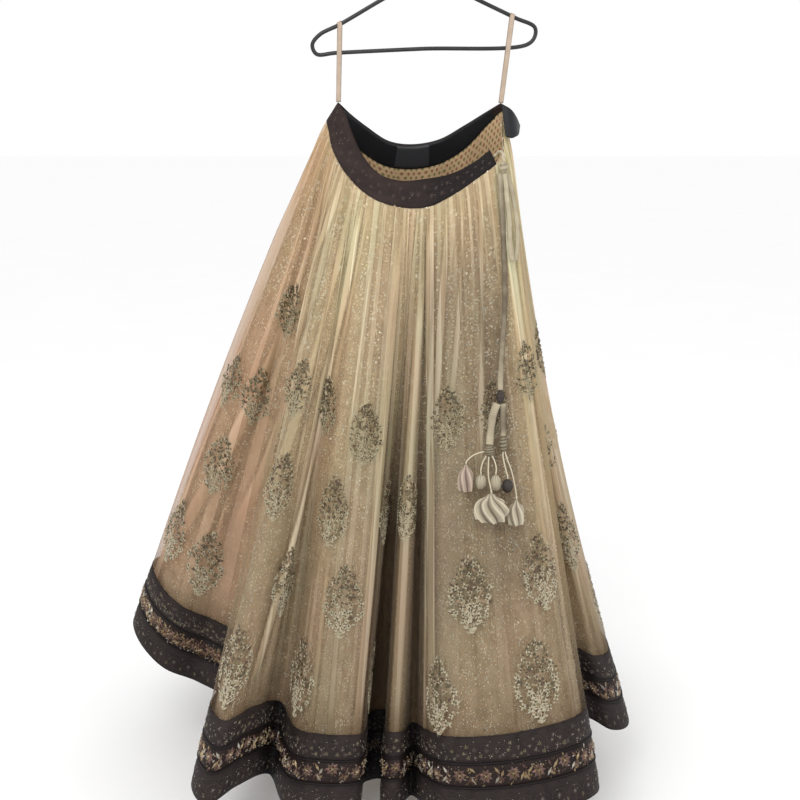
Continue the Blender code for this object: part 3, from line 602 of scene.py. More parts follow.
def new_cord(name, route, diameter, finish):
    """A round cord of twisted strands along its route."""
    length = length_of(evenly(route, 200))
    path = evenly(route, max(24, int(length / STRING_STEP)))
    turn = travelled(path) / (diameter * STRAND_TURN) * 2 * np.pi / STRANDS
    shape = tube(path, (1.0, 0.02, 0.05), twisted_ring(diameter / 2, 18, turn))
    cord = new_piece(name + "_cord", shape, [finish], "drawstring", name, fold=0.0)
    tuple(route[0])
    [tuple(point) for point in evenly(route, 24)]


new_cord("dori_neck", NECK_ROUTE, NECK_TUBE, dori_finish)
for name, leaves, ends_on, between in STRINGS:
    end = top_of(ends_on)
    route = np.array([side_of(leaves, between[0]), *between, end + (0.0, 0.0, STRING_DROP), end])
    new_cord(name, route, STRING, ivory_finish)

for name, (width, pleats, dull, route) in TAPES.items():
    path = evenly(route, 8 * len(route))
    length = travelled(path)
    ring = flat_ring(width, TAPE_WALL, 36, pleats, TAPE_DENT)
    sizes = sum((share * np.sin(length / metres + phase) for share, metres, phase in TAPE_WAVES), 1.0)
    # Painted shade: the tape is darker towards its folded edges and halfway along.
    dents = np.abs(ring[:, 0]) / (width / 2)
    halfway_shade = dull * np.sin(np.pi * length / length[-1]) ** 0.5
    fold = (0.15 + 0.5 * dents[None, :] ** 4 + halfway_shade[:, None]).ravel()
    tape = new_piece(name + "_tape", tube(path, (1.0, 0.0, 0.0), ring, sizes), [dori_finish],
                     "drawstring", name, fold=np.append(fold, (0.5, 0.5)))
    max(TAPE_LEAST, width)
    round(length_of(path), 3)
    "dori_knot_low" if name in ("dori_left", "dori_right") else "dori_knot"


# ================================================================ underskirt
# The underskirt is cut in panels that widen downwards. Its outer cloth is beige net with gold and
# cream sequins sewn all over, and its inside is a lining printed with small leaves in rows.
CLOTH_LENGTH = 1.08          # band's lower edge to hem, along the cloth
COLUMNS = 156                # columns of the frame's own cloth, which set the gathers
FINE = 10                    # fine columns of the net to each of them
UNDER_FINE = 5               # and of the underskirt
UNDER_ROWS = 40
WAIST_SHARE = 0.4            # how much a column's place follows the waist's length, not the hem's
UNDERSKIRT_START = -0.0030   # it starts above the band's lower edge, inside it
UNDERSKIRT_SHIFT = -0.0010   # its distance in from the net at the waist
UNDERSKIRT_DROP_IN = -0.0070   # and how much further in it lies from the row below on down
UNDERSKIRT_DROP_ROW = 0.26
UNDERSKIRT_WALL = 0.0012
UNDERSKIRT_SHORTER = 0.075
UNDERSKIRT_PANELS = 12
WAIST = (
    # the band's edges; at the right opening only its lower edge goes on, from strip to strip
    # name             top x    top y    top z    low x    low y    low z
    ("left peak",     -0.160,  0.000, -0.290,  -0.181,  0.000, -0.322),
    ("left fall",     -0.148, -0.014, -0.308,  -0.177, -0.020, -0.340),
    ("left side",     -0.135, -0.034, -0.341,  -0.170, -0.042, -0.371),
    ("left front",    -0.112, -0.060, -0.386,  -0.146, -0.070, -0.412),
    ("front left",    -0.083, -0.080, -0.415,  -0.106, -0.097, -0.449),
    ("front",         -0.045, -0.094, -0.425,  -0.060, -0.115, -0.467),
    ("front middle",   0.000, -0.098, -0.421,  -0.002, -0.121, -0.469),
    ("front right",    0.040, -0.088, -0.414,   0.042, -0.112, -0.450),
    ("right front",    0.084, -0.062, -0.395,   0.090, -0.090, -0.420),
    ("front end",      0.122, -0.036, -0.368,   0.130, -0.066, -0.390),
    ("opening low",    None,   None,   None,    0.138, -0.046, -0.368),
    ("opening high",   None,   None,   None,    0.137, -0.018, -0.332),
    ("right peak",     0.136,  0.001, -0.291,   0.141,  0.006, -0.306),
    ("right back",     0.112,  0.018, -0.306,   0.117,  0.030, -0.327),
    ("back right",     0.070,  0.036, -0.332,   0.072,  0.052, -0.376),
    ("back",           0.025,  0.052, -0.357,   0.026,  0.068, -0.403),
    ("back middle",   -0.025,  0.058, -0.366,  -0.027,  0.073, -0.413),
    ("back left",     -0.068,  0.051, -0.360,  -0.078,  0.066, -0.406),
    ("left back",     -0.110,  0.031, -0.333,  -0.128,  0.045, -0.374),
    ("left rise",     -0.140,  0.012, -0.309,  -0.165,  0.018, -0.344),
)
HEM = (
    # waist is the row of WAIST that the cloth falls from, bulge how far it swells out on the way
    # name                x       y       z     waist  bulge
    ("left tip",       -0.587,  0.000, -1.305,   0.7,  0.012),
    ("left round",     -0.566, -0.060, -1.325,   1.0,  0.012),
    ("left face",      -0.510, -0.105, -1.362,   1.4,  0.010),
    ("left inner",     -0.446, -0.100, -1.394,   1.8,  0.004),
    ("left valley",    -0.372, -0.140, -1.420,   2.2,  0.005),
    ("ridge 1 back",   -0.378, -0.270, -1.425,   2.5,  0.000),
    ("ridge 1 edge",   -0.407, -0.400, -1.432,   2.8,  0.000),
    ("ridge 1 tip",    -0.373, -0.460, -1.433,   3.0,  0.000),
    ("ridge 1 face",   -0.331, -0.410, -1.430,   3.3,  0.000),
    ("valley 1",       -0.283, -0.312, -1.468,   3.7,  0.000),
    ("ridge 2 left",   -0.248, -0.390, -1.480,   3.9,  0.000),
    ("ridge 2 face",   -0.195, -0.428, -1.470,   4.5,  0.000),
    ("ridge 2 right",  -0.127, -0.415, -1.474,   5.3,  0.000),
    ("valley 2 left",  -0.113, -0.295, -1.493,   5.55, 0.000),
    ("valley 2 right", -0.084, -0.285, -1.493,   5.7,  0.000),
    ("ridge 3 left",   -0.078, -0.390, -1.483,   5.78, 0.000),
    ("ridge 3 right",  -0.054, -0.400, -1.478,   5.9,  0.000),
    ("valley 3",       -0.029, -0.340, -1.492,   5.98, 0.000),
    ("ridge 4 left",    0.002, -0.410, -1.470,   6.15, 0.000),
    ("ridge 4 near",    0.030, -0.455, -1.458,   6.6,  0.000),
    ("ridge 4 face",    0.108, -0.474, -1.450,   7.3,  0.000),
    ("ridge 4 wide",    0.200, -0.468, -1.441,   8.1,  0.000),
    ("ridge 4 right",   0.272, -0.435, -1.438,   8.8,  0.000),
    ("ridge 4 edge",    0.298, -0.380, -1.446,   9.3, -0.005),
    ("right valley",    0.262, -0.260, -1.430,   9.9, -0.010),
    ("right inner",     0.305, -0.205, -1.415,  10.3, -0.016),
    ("right face",      0.348, -0.225, -1.428,  10.8, -0.024),
    ("right tip",       0.387, -0.180, -1.443,  11.3, -0.028),
    ("right round",     0.384, -0.100, -1.438,  11.6, -0.024),
    ("back valley 1",   0.285, -0.015, -1.410,  12.0, -0.014),
    ("back ridge 1",    0.352,  0.125, -1.425,  12.4, -0.010),
    ("back valley 2",   0.268,  0.190, -1.412,  12.9,  0.000),
    ("back ridge 2",    0.312,  0.290, -1.418,  13.3,  0.000),
    ("ridge 2 round",   0.255,  0.345, -1.425,  13.7,  0.000),
    ("back valley 3",   0.165,  0.245, -1.440,  14.1,  0.000),
    ("back ridge 3",    0.090,  0.385, -1.430,  14.8,  0.000),
    ("back valley 4",  -0.010,  0.265, -1.455,  15.5,  0.000),
    ("back ridge 4",   -0.110,  0.400, -1.430,  16.3,  0.000),
    ("back valley 5",  -0.190,  0.255, -1.440,  17.1,  0.000),
    ("back ridge 5",   -0.300,  0.360, -1.410,  17.8,  0.000),
    ("back valley 6",  -0.335,  0.195, -1.410,  18.4,  0.005),
    ("back ridge 6",   -0.490,  0.235, -1.360,  18.9,  0.008),
    ("back valley 7",  -0.450,  0.095, -1.365,  19.4,  0.010),
    ("left back edge", -0.560,  0.075, -1.318,  20.2,  0.004),
)
SIDE_SEAM = "right round"


def waist_edge(edge, rows):
    """Points on the waistband's top (0) or lower (1) edge at rows of WAIST, which may be fractions."""
    table = [row[1 + 3 * edge:4 + 3 * edge] for row in WAIST]
    if edge == 1:
        at, knots = smooth_curve(table, closed=True)
        return at(np.interp(np.asarray(rows) % len(table), np.arange(len(table) + 1), knots))
    first, last = int(min(rows)), int(math.ceil(max(rows)))
    at, knots = smooth_curve([table[row % len(table)] for row in range(first, last + 1)])
    return at(np.interp(rows, np.arange(first, last + 1), knots))


def hem_columns(count):
    """Hem point, waist row and bulge of each of so many columns, and the side seam's share of the round.

    A column's place follows the hem's length and the waist's, by WAIST_SHARE.
    """
    at, knots = smooth_curve([row[1:4] for row in HEM], closed=True)
    waist_rows = [row[4] for row in HEM] + [HEM[0][4] + len(WAIST)]
    bulges = [row[5] for row in HEM] + [HEM[0][5]]
    fine = np.linspace(0.0, knots[-1], CURVE_STEPS)
    hem, waist = travelled(at(fine)), travelled(waist_edge(1, np.interp(fine, knots, waist_rows)))
    position = hem / hem[-1] * (1.0 - WAIST_SHARE) + waist / waist[-1] * WAIST_SHARE
    places = np.interp(np.arange(count) / count, position, fine)
    seam = np.interp(knots[[row[0] for row in HEM].index(SIDE_SEAM)], fine, position)
    return at(places), np.interp(places, knots, waist_rows), np.interp(places, knots, bulges), seam


def outwards(grid, closed=True):
    """Unit normals of a grid of points, out of the skirt."""
    along = np.roll(grid, -1, 0) - np.roll(grid, 1, 0) if closed else np.gradient(grid, axis=0)
    return unit(np.cross(np.gradient(grid, axis=1), along))


def straight_falls(rows, start, count):
    """P(u, v) = waist(u) + (hem(u) - waist(u)) v + out(u) bulge(u) sin(pi v)."""
    hem, waist_rows, bulges, _ = hem_columns(count)
    waist = waist_edge(1, waist_rows)
    fall = hem - waist
    waist = waist + fall * (start / np.linalg.norm(fall, axis=1))[:, None]
    grid = waist[:, None] + (hem - waist)[:, None] * rows[None, :, None]
    out = unit(hem * (1.0, 1.0, 0.0))
    return grid + (out * bulges[:, None])[:, None] * np.sin(np.pi * rows)[None, :, None]


fine_columns = COLUMNS * FINE
under_columns = COLUMNS * UNDER_FINE
under_rows = np.linspace(0.0, 1.0, UNDER_ROWS) ** 1.3 * (1.0 - UNDERSKIRT_SHORTER / CLOTH_LENGTH)
under_middle = straight_falls(under_rows, UNDERSKIRT_START, under_columns)
under_in = UNDERSKIRT_SHIFT + UNDERSKIRT_DROP_IN * np.minimum(under_rows / UNDERSKIRT_DROP_ROW, 1.0)
under_middle = under_middle + outwards(under_middle) * under_in[None, :, None]
under_normals = outwards(under_middle)


def panel_cut(grid, rows, panels):
    """Cloth coordinates of panels: x = length round from the panel's middle, y = length down."""
    round_length = np.linalg.norm(np.roll(grid, -1, 0) - grid, axis=2).sum(axis=0)
    turn = np.arange(len(grid)) / len(grid) * panels
    from_middle = ((turn - np.round(turn)) / panels)[:, None]
    return np.stack(np.broadcast_arrays(from_middle * round_length, rows * CLOTH_LENGTH), axis=-1)


def both_sides(grid, normals, wall):
    """The points half a wall outside a grid, then those half a wall inside it."""
    return np.vstack([(grid + normals * wall / 2).reshape(-1, 3), (grid - normals * wall / 2).reshape(-1, 3)])


def closed_wall(grid, normals, wall):
    """A wall round a closed grid: its outer points, its inner points, and faces all round it.

    The faces come outer side first, then inner side, then the two edges.
    """
    count, rows = grid.shape[:2]
    outer = grid_faces(count, rows, first_closed=True)
    inner = outer[:, ::-1] + count * rows
    near = np.arange(count) * rows
    far, back, low = np.roll(near, -1), count * rows, rows - 1
    top_edge = np.stack([near, far, back + far, back + near], axis=1)
    low_edge = np.stack([near + low, back + near + low, back + far + low, far + low], axis=1)
    return both_sides(grid, normals, wall), [outer, inner, top_edge, low_edge]


FOLD_REACHES = (80, 50, 32, 20)   # a chord reaches this part of the round to either side
FOLD_SAG = 0.36                   # the sag below a chord, over its length, at which painted shade starts in a fold


def fold_depth(grid):
    """How deep in a fold the cloth lies, 0 to 1: the largest sag below a chord, over the chord's length."""
    deepest = np.zeros(grid.shape[:2])
    for part in FOLD_REACHES:
        reach = len(grid) // part
        before, after = np.roll(grid, reach, axis=0), np.roll(grid, -reach, axis=0)
        chord = (after - before) * (1.0, 1.0, 0.0)
        out = np.stack([chord[..., 1], -chord[..., 0]], axis=-1)
        inward = ((before + after) / 2 - grid)[..., :2]
        length = np.linalg.norm(chord, axis=-1) + 1e-6
        deepest = np.maximum(deepest, (inward * out).sum(axis=-1) / length**2)
    return ramp(deepest, FOLD_SAG, FOLD_SAG)


FOLD_SHARES = (
    # share of the round, how dark the painted shade in its folds gets
    (0.000, 0.80), (0.120, 0.50), (0.150, 0.20), (0.205, 0.25), (0.230, 0.10), (0.238, 1.00),
    (0.277, 1.00), (0.281, 0.20), (0.288, 0.20), (0.292, 1.00), (0.307, 1.00), (0.312, 0.20),
    (0.350, 0.60), (0.450, 0.62), (0.600, 0.90), (0.800, 0.90), (1.000, 0.80),
)
FOLD_START, FOLD_FULL = 0.24, 0.56   # shares of the length where painted shade in folds starts, and is full


def fold_darkness(count, rows):
    """How much of a fold's depth turns into painted shade there: by the round, and from nothing at its top.
    """
    turn, share = np.array(FOLD_SHARES).T
    round_share = np.interp(np.arange(count) / count, turn, share)
    return round_share[:, None] * ramp(rows, FOLD_START, FOLD_FULL - FOLD_START)[None, :]


UNDER_BEIGE = linear(182, 161, 132)
UNDER_SHADE = linear(146, 126, 100)
UNDER_THREAD = linear(240, 228, 198)
UNDER_FOLD_SHADE = linear(76, 61, 43)
LINING_GROUND = linear(203, 172, 132)
LEAF_OLIVE = linear(104, 102, 56)
LEAF_RUST = linear(130, 84, 54)
LEAF_ACROSS = 0.0108
LEAF_DOWN = 0.0082


def sequinned_net():
    """Mottled net, with painted shade deep in a fold, with bright dots crowded along wandering lines of
    thread.
    """
    finish = Finish("sequinned beige net", Roughness=0.6, Specular_IOR_Level=0.2)
    where = finish.flat()
    blotch = finish.spread(finish.noise(where, 35.0, 4.0), 0.3, 0.7)
    stitch = finish.noise(where, 260.0, 2.0)
    trail = finish.spread(abs(finish.streaks(where, 46.0, 22.0, 1.5, 0.4) - 0.5), 0.085, 0.045)
    dot = finish.spread(finish.cells(where, 200.0), 0.34, 0.24) * (trail * 0.85 + 0.15)
    tone = finish.between(blotch, UNDER_BEIGE, UNDER_SHADE)
    tone = finish.between(finish.spread(stitch, 0.48, 0.66) * 0.35, tone, UNDER_SHADE * 0.6)
    tone = finish.between(dot * 0.95, tone, UNDER_THREAD)
    finish.dyed(finish.carried("depth") * 0.95, tone, UNDER_FOLD_SHADE)
    finish.raised(stitch * 0.5 + dot * 0.5, 0.0012, 0.8)
    return finish


def printed_lining():
    """Leaves in rows, every second row in the other dye and half a step along.

    A leaf's half width is 0.27 (1 - |2.2 y|**2) (1 - y), y from -1/2 at its tip to 1/2.
    """
    finish = Finish("printed lining", Roughness=0.75)
    across, down = finish.split(finish.flat())
    row = down / LEAF_DOWN
    odd = (row.floor() * 0.5).fract() > 0.25
    x = (across / LEAF_ACROSS + odd * 0.5).fract() - 0.5
    y = row.fract() - 0.5
    half_width = 0.27 * (1.0 - abs(y * 2.2) ** 2.0) * (1.0 - y)
    leaf = finish.spread(half_width - abs(x), 0.0, 0.05)
    ground = finish.between(finish.noise(finish.flat(), 90.0, 3.0), LINING_GROUND, LINING_GROUND * 0.8)
    finish.dyed(leaf * 0.85, ground, finish.between(odd, LEAF_OLIVE, LEAF_RUST))
    finish.raised(finish.noise(finish.flat(), 1500.0, 1.0), 0.0004, 0.5)
    return finish


under_wall = closed_wall(under_middle, under_normals, UNDERSKIRT_WALL)
inside = np.concatenate([np.full(len(face), side) for face, side in zip(under_wall[1], (0, 1, 0, 0))])
# Painted shade: how dark the underskirt is deep in each fold.
under_shade = fold_depth(under_middle) * fold_darkness(under_columns, under_rows)
underskirt = new_piece("underskirt_cloth", under_wall, [sequinned_net(), printed_lining()], "underskirt",
                       "underskirt", finish_of_face=inside,
                       cut=panel_cut(under_middle, under_rows, UNDERSKIRT_PANELS), depth=under_shade)


def sampled(values, rows, turn, share, closed=True):
    """Values of a grid at shares of the round and of the length, bilinear between its points."""
    across = (turn % 1.0) * len(values) if closed else np.clip(turn, 0.0, 1.0) * (len(values) - 1.001)
    down = np.interp(share, rows, np.arange(len(rows)))
    i, j = np.floor(across).astype(int), np.minimum(np.floor(down).astype(int), len(rows) - 2)
    right, low = across - i, down - j
    if values.ndim == 3:
        right, low = right[..., None], low[..., None]
    i, after = i % len(values), (i + 1) % len(values)
    upper = values[i, j] * (1.0 - right) + values[after, j] * right
    lower = values[i, j + 1] * (1.0 - right) + values[after, j + 1] * right
    return upper * (1.0 - low) + lower * low


SEQUIN_SIDES = 6
SEQUIN_LEAN = 0.30


def discs(places, normals, radius, tilt, chance):
    """Flat sequins: r (cos t, sin t) in planes that lean from the cloth, each in its own direction."""
    normals = unit(normals + chance.normal(0.0, tilt, normals.shape))
    first = unit(np.cross(normals, (0.13, 0.21, 0.97)))
    second = np.cross(normals, first)
    turns = 2 * np.pi * np.arange(SEQUIN_SIDES) / SEQUIN_SIDES
    rim = first[:, None] * np.cos(turns)[None, :, None] + second[:, None] * np.sin(turns)[None, :, None]
    points = places[:, None] + rim * radius[:, None, None]
    return points, [np.arange(len(places) * SEQUIN_SIDES).reshape(-1, SEQUIN_SIDES)]


def dyed_finish(name, grain, **constants):
    """Thread or metal whose colour is on each stitch, a little uneven and raised by its strands."""
    finish = Finish(name, **constants)
    strands = finish.noise(finish.place(), grain, 2.0)
    shade = finish.between(finish.spread(strands, 0.3, 0.7), linear(180, 176, 170), linear(255, 255, 255))
    finish.into("Base Color", finish.times(finish.carried("dye", "Color"), shade))
    finish.raised(strands, 0.0004, 0.5)
    return finish


SEQUIN_TRIES = 230000
SEQUIN_LOW = 0.91            # the share of the length at which the sequins end
SEQUIN_CROWD = 0.75          # the power of an even draw of their shares: below 1, more lie low down
SEQUIN_RADIUS = (0.0017, 0.0026)
SEQUIN_SMALLER = 0.50        # how much smaller they are at the hem
SEQUIN_DULLER = 0.35         # how much darker they are at the hem
SEQUIN_FOLD_SHADE = 0.9         # painted shade: how much darker they are deep in a fold
SEQUIN_OFF = 0.0012          # how far they stand off the cloth
SEQUIN_ROUND = 4.4           # metres round the hem, for the waves of their trails
SEQUIN_LINE = 0.34           # how near a sequin lies to a line of the all-over trails
SEQUIN_WAVES = (
    # the trails are where their sum is 0: waves a metre across and down, and phase
    (52.0, 12.0, 0.3), (-44.0, 17.0, 1.9), (30.0, -23.0, 4.0), (63.0, 5.0, 2.6), (-57.0, -9.0, 5.2),
)
SEQUIN_LOOKS = (
    # colour, share of the sequins
    (linear(255, 250, 228), 0.50),
    (linear(240, 218, 174), 0.28),
    (linear(186, 154, 112), 0.12),
    (linear(220, 216, 206), 0.10),
)
sequin_finish = dyed_finish("sequins", 300.0, Metallic=0.25, Roughness=0.3)
chance = np.random.default_rng(11)
turn = chance.uniform(0.0, 1.0, SEQUIN_TRIES)
share = SEQUIN_LOW * chance.uniform(0.0, 1.0, SEQUIN_TRIES) ** SEQUIN_CROWD
trail = sum(np.sin(2 * np.pi * (across * turn * SEQUIN_ROUND + down * share) + phase)
            for across, down, phase in SEQUIN_WAVES)
kept = np.abs(trail) < SEQUIN_LINE
turn, share = turn[kept], share[kept]
leans = unit(sampled(under_normals, under_rows, turn, share))
places = sampled(under_middle, under_rows, turn, share) + leans * (UNDERSKIRT_WALL / 2 + SEQUIN_OFF)
radius = chance.uniform(*SEQUIN_RADIUS, len(turn)) * (1.0 - SEQUIN_SMALLER * share)
shape = discs(places, leans, radius, SEQUIN_LEAN, chance)
looks = chance.choice(len(SEQUIN_LOOKS), len(turn), p=[part for _, part in SEQUIN_LOOKS])
shade = 1.0 - SEQUIN_FOLD_SHADE * sampled(under_shade, under_rows, turn, share)
shade = shade * (1.0 - SEQUIN_DULLER * share)
dye = np.array([look for look, _ in SEQUIN_LOOKS])[looks] * shade[:, None]
under_sequins = new_piece("underskirt_sequins", shape, [sequin_finish], "underskirt",
                          dye=dye.repeat(SEQUIN_SIDES, axis=0))
under_sequins.data.shade_flat()


# ================================================================ net overlay
# Soft net, gathered on to the waistband in about fifty gathers and left to fall in folds down to
# the border. Where it lies double in a fold it is paler, and less of the sequins shows through.
NET_START = 0.0014           # its top, below the band's lower edge
NET_SHIFT = 0.0008
GATHER_COLUMNS = 3           # columns of the frame's cloth to a gather
GATHER_DEPTH = 0.0100
GATHER_RISE = 0.02
GATHER_LIMIT = 1.05          # most that one stands out, over the width of a column
GATHER_WAVES = ((0.30, 0.37, 0.0), (0.25, 1.13, 1.0))
CREASE_RISE, CREASE_FADE = 0.05, 0.12   # shares of the length over which a crease comes and goes
FALL_FADE = 0.12
STRIPS = (0.046, 0.040, 0.050)   # heights of the border's upper, floral and lower strips
SEAM_GAP = 0.0003
NET_ROW_COUNT = 60
STRIP_ROWS = 5
HEM_ROUND = 4.6
CREASES = (
    # share of the round at the top and at the end, share of the length there, half width in mm at
    # the top and at the end, height in mm (below 0 is a trough), how double the net lies
    (0.065, 0.011, 0.01, 0.86, 4.0, 14.0,  3.0, 0.6),
    (0.058, 0.030, 0.04, 0.84, 2.5, 5.0, -2.5, 0.0),
    (0.098, 0.046, 0.01, 0.70, 4.0, 11.0,  3.5, 0.8),
    (0.080, 0.058, 0.02, 0.60, 2.0, 5.0, -3.5, 0.0),
    (0.126, 0.084, 0.01, 0.40, 4.4, 7.0,  2.5, 0.7),
    (0.153, 0.118, 0.01, 0.62, 3.0, 8.0,  3.0, 0.6),
    (0.140, 0.098, 0.03, 0.52, 1.8, 4.0, -2.5, 0.0),
    (0.184, 0.137, 0.02, 0.90, 5.4, 10.0, 3.8, 1.0),
    (0.172, 0.128, 0.05, 0.62, 1.8, 4.0, -3.0, 0.0),
    (0.196, 0.176, 0.01, 0.34, 2.0, 4.5,  2.0, 0.5),
    (0.206, 0.200, 0.10, 0.48, 1.6, 3.0,  2.0, 0.7),
    (0.226, 0.222, 0.01, 0.42, 1.6, 3.0, -2.6, 0.0),
    (0.238, 0.226, 0.02, 0.30, 2.2, 4.0,  2.2, 0.5),
    (0.232, 0.231, 0.06, 0.99, 4.6, 10.0, 1.8, 0.8),
    (0.268, 0.268, 0.02, 0.40, 1.8, 3.5, -3.0, 0.0),
    (0.286, 0.279, 0.02, 0.46, 2.0, 5.0, -3.4, 0.0),
    (0.312, 0.316, 0.01, 0.99, 5.6, 12.0, 2.4, 0.8),
    (0.285, 0.284, 0.14, 0.99, 4.2, 9.0,  1.6, 0.6),
    (0.323, 0.302, 0.02, 0.50, 1.8, 3.5, -3.0, 0.0),
    (0.335, 0.316, 0.02, 0.46, 3.0, 9.0,  2.4, 0.8),
    (0.358, 0.332, 0.01, 0.40, 2.6, 5.0,  2.6, 0.7),
    (0.347, 0.323, 0.04, 0.34, 1.5, 3.0, -2.2, 0.0),
    (0.373, 0.348, 0.02, 0.48, 1.8, 3.4, -2.8, 0.0),
    (0.382, 0.351, 0.02, 0.56, 3.2, 6.0,  2.4, 0.7),
    (0.397, 0.378, 0.02, 0.46, 1.6, 3.2, -2.6, 0.0),
    (0.409, 0.402, 0.02, 0.80, 3.0, 9.0,  3.0, 0.5),
    (0.421, 0.410, 0.06, 0.88, 1.8, 4.5, -2.4, 0.0),
    (0.440, 0.440, 0.01, 0.36, 5.0, 8.0,  2.8, 0.8),
    (0.458, 0.466, 0.01, 0.50, 2.0, 5.0, -3.0, 0.0),
    (0.478, 0.489, 0.01, 0.86, 3.4, 11.0, 3.4, 0.8),
    (0.497, 0.497, 0.00, 0.99, 6.0, 20.0, 0.5, 0.7),
    (0.512, 0.514, 0.00, 0.99, 6.0, 22.0, 0.5, 0.7),
    (0.474, 0.486, 0.00, 0.46, 14.0, 16.0, 0.4, 0.9),
    (0.006, 0.006, 0.00, 0.99, 7.0, 30.0, 0.5, 0.45),
    (0.989, 0.986, 0.00, 0.99, 7.0, 30.0, 0.5, 0.45),
    (0.197, 0.199, 0.58, 0.98, 3.0, 6.0,  2.4, 0.6),
    (0.209, 0.213, 0.62, 0.96, 2.5, 5.0,  2.0, 0.5),
    (0.160, 0.158, 0.50, 0.99, 3.0, 8.0, -3.0, 0.0),
    (0.345, 0.352, 0.55, 0.99, 4.0, 11.0, -2.2, 0.0),
    (0.372, 0.368, 0.60, 0.99, 4.0, 9.0,  2.2, 0.3),
    (0.404, 0.411, 0.52, 0.99, 3.0, 7.0,  2.6, 0.5),
    (0.310, 0.308, 0.50, 0.99, 3.0, 7.0,  2.6, 0.6),
    # the back and the sides that the front hides
    (0.520, 0.526, 0.01, 0.78, 3.0, 10.0, 3.2, 0.8),
    (0.538, 0.541, 0.02, 0.52, 1.8, 4.0, -2.8, 0.0),
    (0.556, 0.552, 0.01, 0.92, 3.0, 9.0,  3.4, 0.9),
    (0.574, 0.580, 0.03, 0.44, 2.0, 4.5, -2.6, 0.0),
    (0.592, 0.598, 0.01, 0.66, 2.6, 8.0,  2.8, 0.7),
    (0.611, 0.606, 0.02, 0.90, 2.2, 6.0, -3.0, 0.0),
    (0.628, 0.634, 0.01, 0.84, 3.2, 10.0, 3.4, 0.9),
    (0.646, 0.650, 0.04, 0.50, 1.8, 4.0, -2.4, 0.0),
    (0.662, 0.656, 0.01, 0.58, 2.8, 7.0,  2.6, 0.6),
    (0.681, 0.686, 0.02, 0.94, 3.0, 9.0,  3.2, 0.8),
    (0.697, 0.700, 0.03, 0.46, 1.8, 4.0, -3.0, 0.0),
    (0.716, 0.711, 0.01, 0.74, 3.0, 8.0,  3.0, 0.7),
    (0.733, 0.740, 0.02, 0.62, 2.0, 5.0, -2.6, 0.0),
    (0.752, 0.749, 0.01, 0.90, 3.4, 10.0, 3.6, 1.0),
    (0.770, 0.776, 0.04, 0.48, 1.8, 4.0, -2.8, 0.0),
    (0.786, 0.781, 0.01, 0.56, 2.6, 7.0,  2.4, 0.6),
    (0.806, 0.811, 0.01, 0.86, 3.0, 9.0,  3.2, 0.8),
    (0.824, 0.820, 0.02, 0.70, 2.0, 5.5, -3.0, 0.0),
    (0.843, 0.850, 0.01, 0.80, 3.2, 9.0,  3.0, 0.9),
    (0.861, 0.858, 0.03, 0.44, 1.8, 4.0, -2.4, 0.0),
    (0.880, 0.886, 0.01, 0.92, 3.0, 10.0, 3.4, 0.8),
    (0.900, 0.897, 0.02, 0.54, 2.0, 5.0, -2.8, 0.0),
    (0.918, 0.925, 0.01, 0.68, 2.8, 8.0,  2.8, 0.6),
    (0.938, 0.934, 0.02, 0.88, 2.2, 6.0, -3.2, 0.0),
    (0.957, 0.962, 0.01, 0.76, 3.2, 10.0, 3.2, 0.9),
    (0.978, 0.974, 0.03, 0.60, 2.0, 5.0, -2.6, 0.0),
)


def gathered(grid, rows):
    """How far the small gathers stand out, by column c and share of the length v.

    depth (1/2 + 1/2 cos(2 pi c / 3)) uneven(c) v / (v + rise) (1 - v), uneven a sum of waves.
    """
    column = np.arange(len(grid)) * COLUMNS / len(grid)
    wave = 0.5 + 0.5 * np.cos(2 * np.pi * column / GATHER_COLUMNS)
    uneven = 1.0 + sum(share * np.sin(step * column + phase) for share, step, phase in GATHER_WAVES)
    opening = rows / (rows + GATHER_RISE) * (1.0 - rows)
    depth = GATHER_DEPTH * (wave * uneven)[:, None] * opening[None, :]
    spacing = np.linalg.norm(np.roll(grid, -1, 0) - grid, axis=2) * len(grid) / COLUMNS
    return np.minimum(depth, GATHER_LIMIT * spacing)


def creased(grid, rows):
    """Sums the creases: each is h exp(-(d / w)**2) across, and rises and fades along its length.

    A ridge lies double out to 1.1 w, most at 0.92 w, and has painted shade at 1.45 w. A trough has
    painted shade in its middle.
    Returns how far the cloth is moved out, how double it lies and how much painted shade it has, at each
    point.
    """
    turn = np.arange(len(grid)) / len(grid)
    round_length = np.linalg.norm(np.roll(grid, -1, 0) - grid, axis=2) * len(grid)
    height, double, shaded = np.zeros((3,) + grid.shape[:2])
    for top, end, start, stop, top_width, end_width, rise, doubled in CREASES:
        share = ramp(rows, start, stop - start)
        middle = top + (end - top) * share
        width = (top_width + (end_width - top_width) * share) / 1000.0
        off = (turn[:, None] - middle[None, :] + 0.5) % 1.0 - 0.5
        across = np.abs(off * round_length / width)
        fade = ramp(rows, start, CREASE_RISE) * ramp(stop, rows, CREASE_FADE)
        height += rise / 1000.0 * np.exp(-across**2) * fade
        band = 0.85 * np.exp(-(across / 1.1) ** 8) + 0.3 * np.exp(-((across - 0.92) / 0.16) ** 2)
        double = np.maximum(double, doubled * band * fade)
        # Painted shade: beside a ridge, or in a trough's middle.
        rim = doubled * np.exp(-((across - 1.45) / 0.35) ** 2) if rise > 0 else np.exp(-(across / 0.8) ** 2)
        shaded = np.maximum(shaded, rim * fade)
    return height, double, shaded


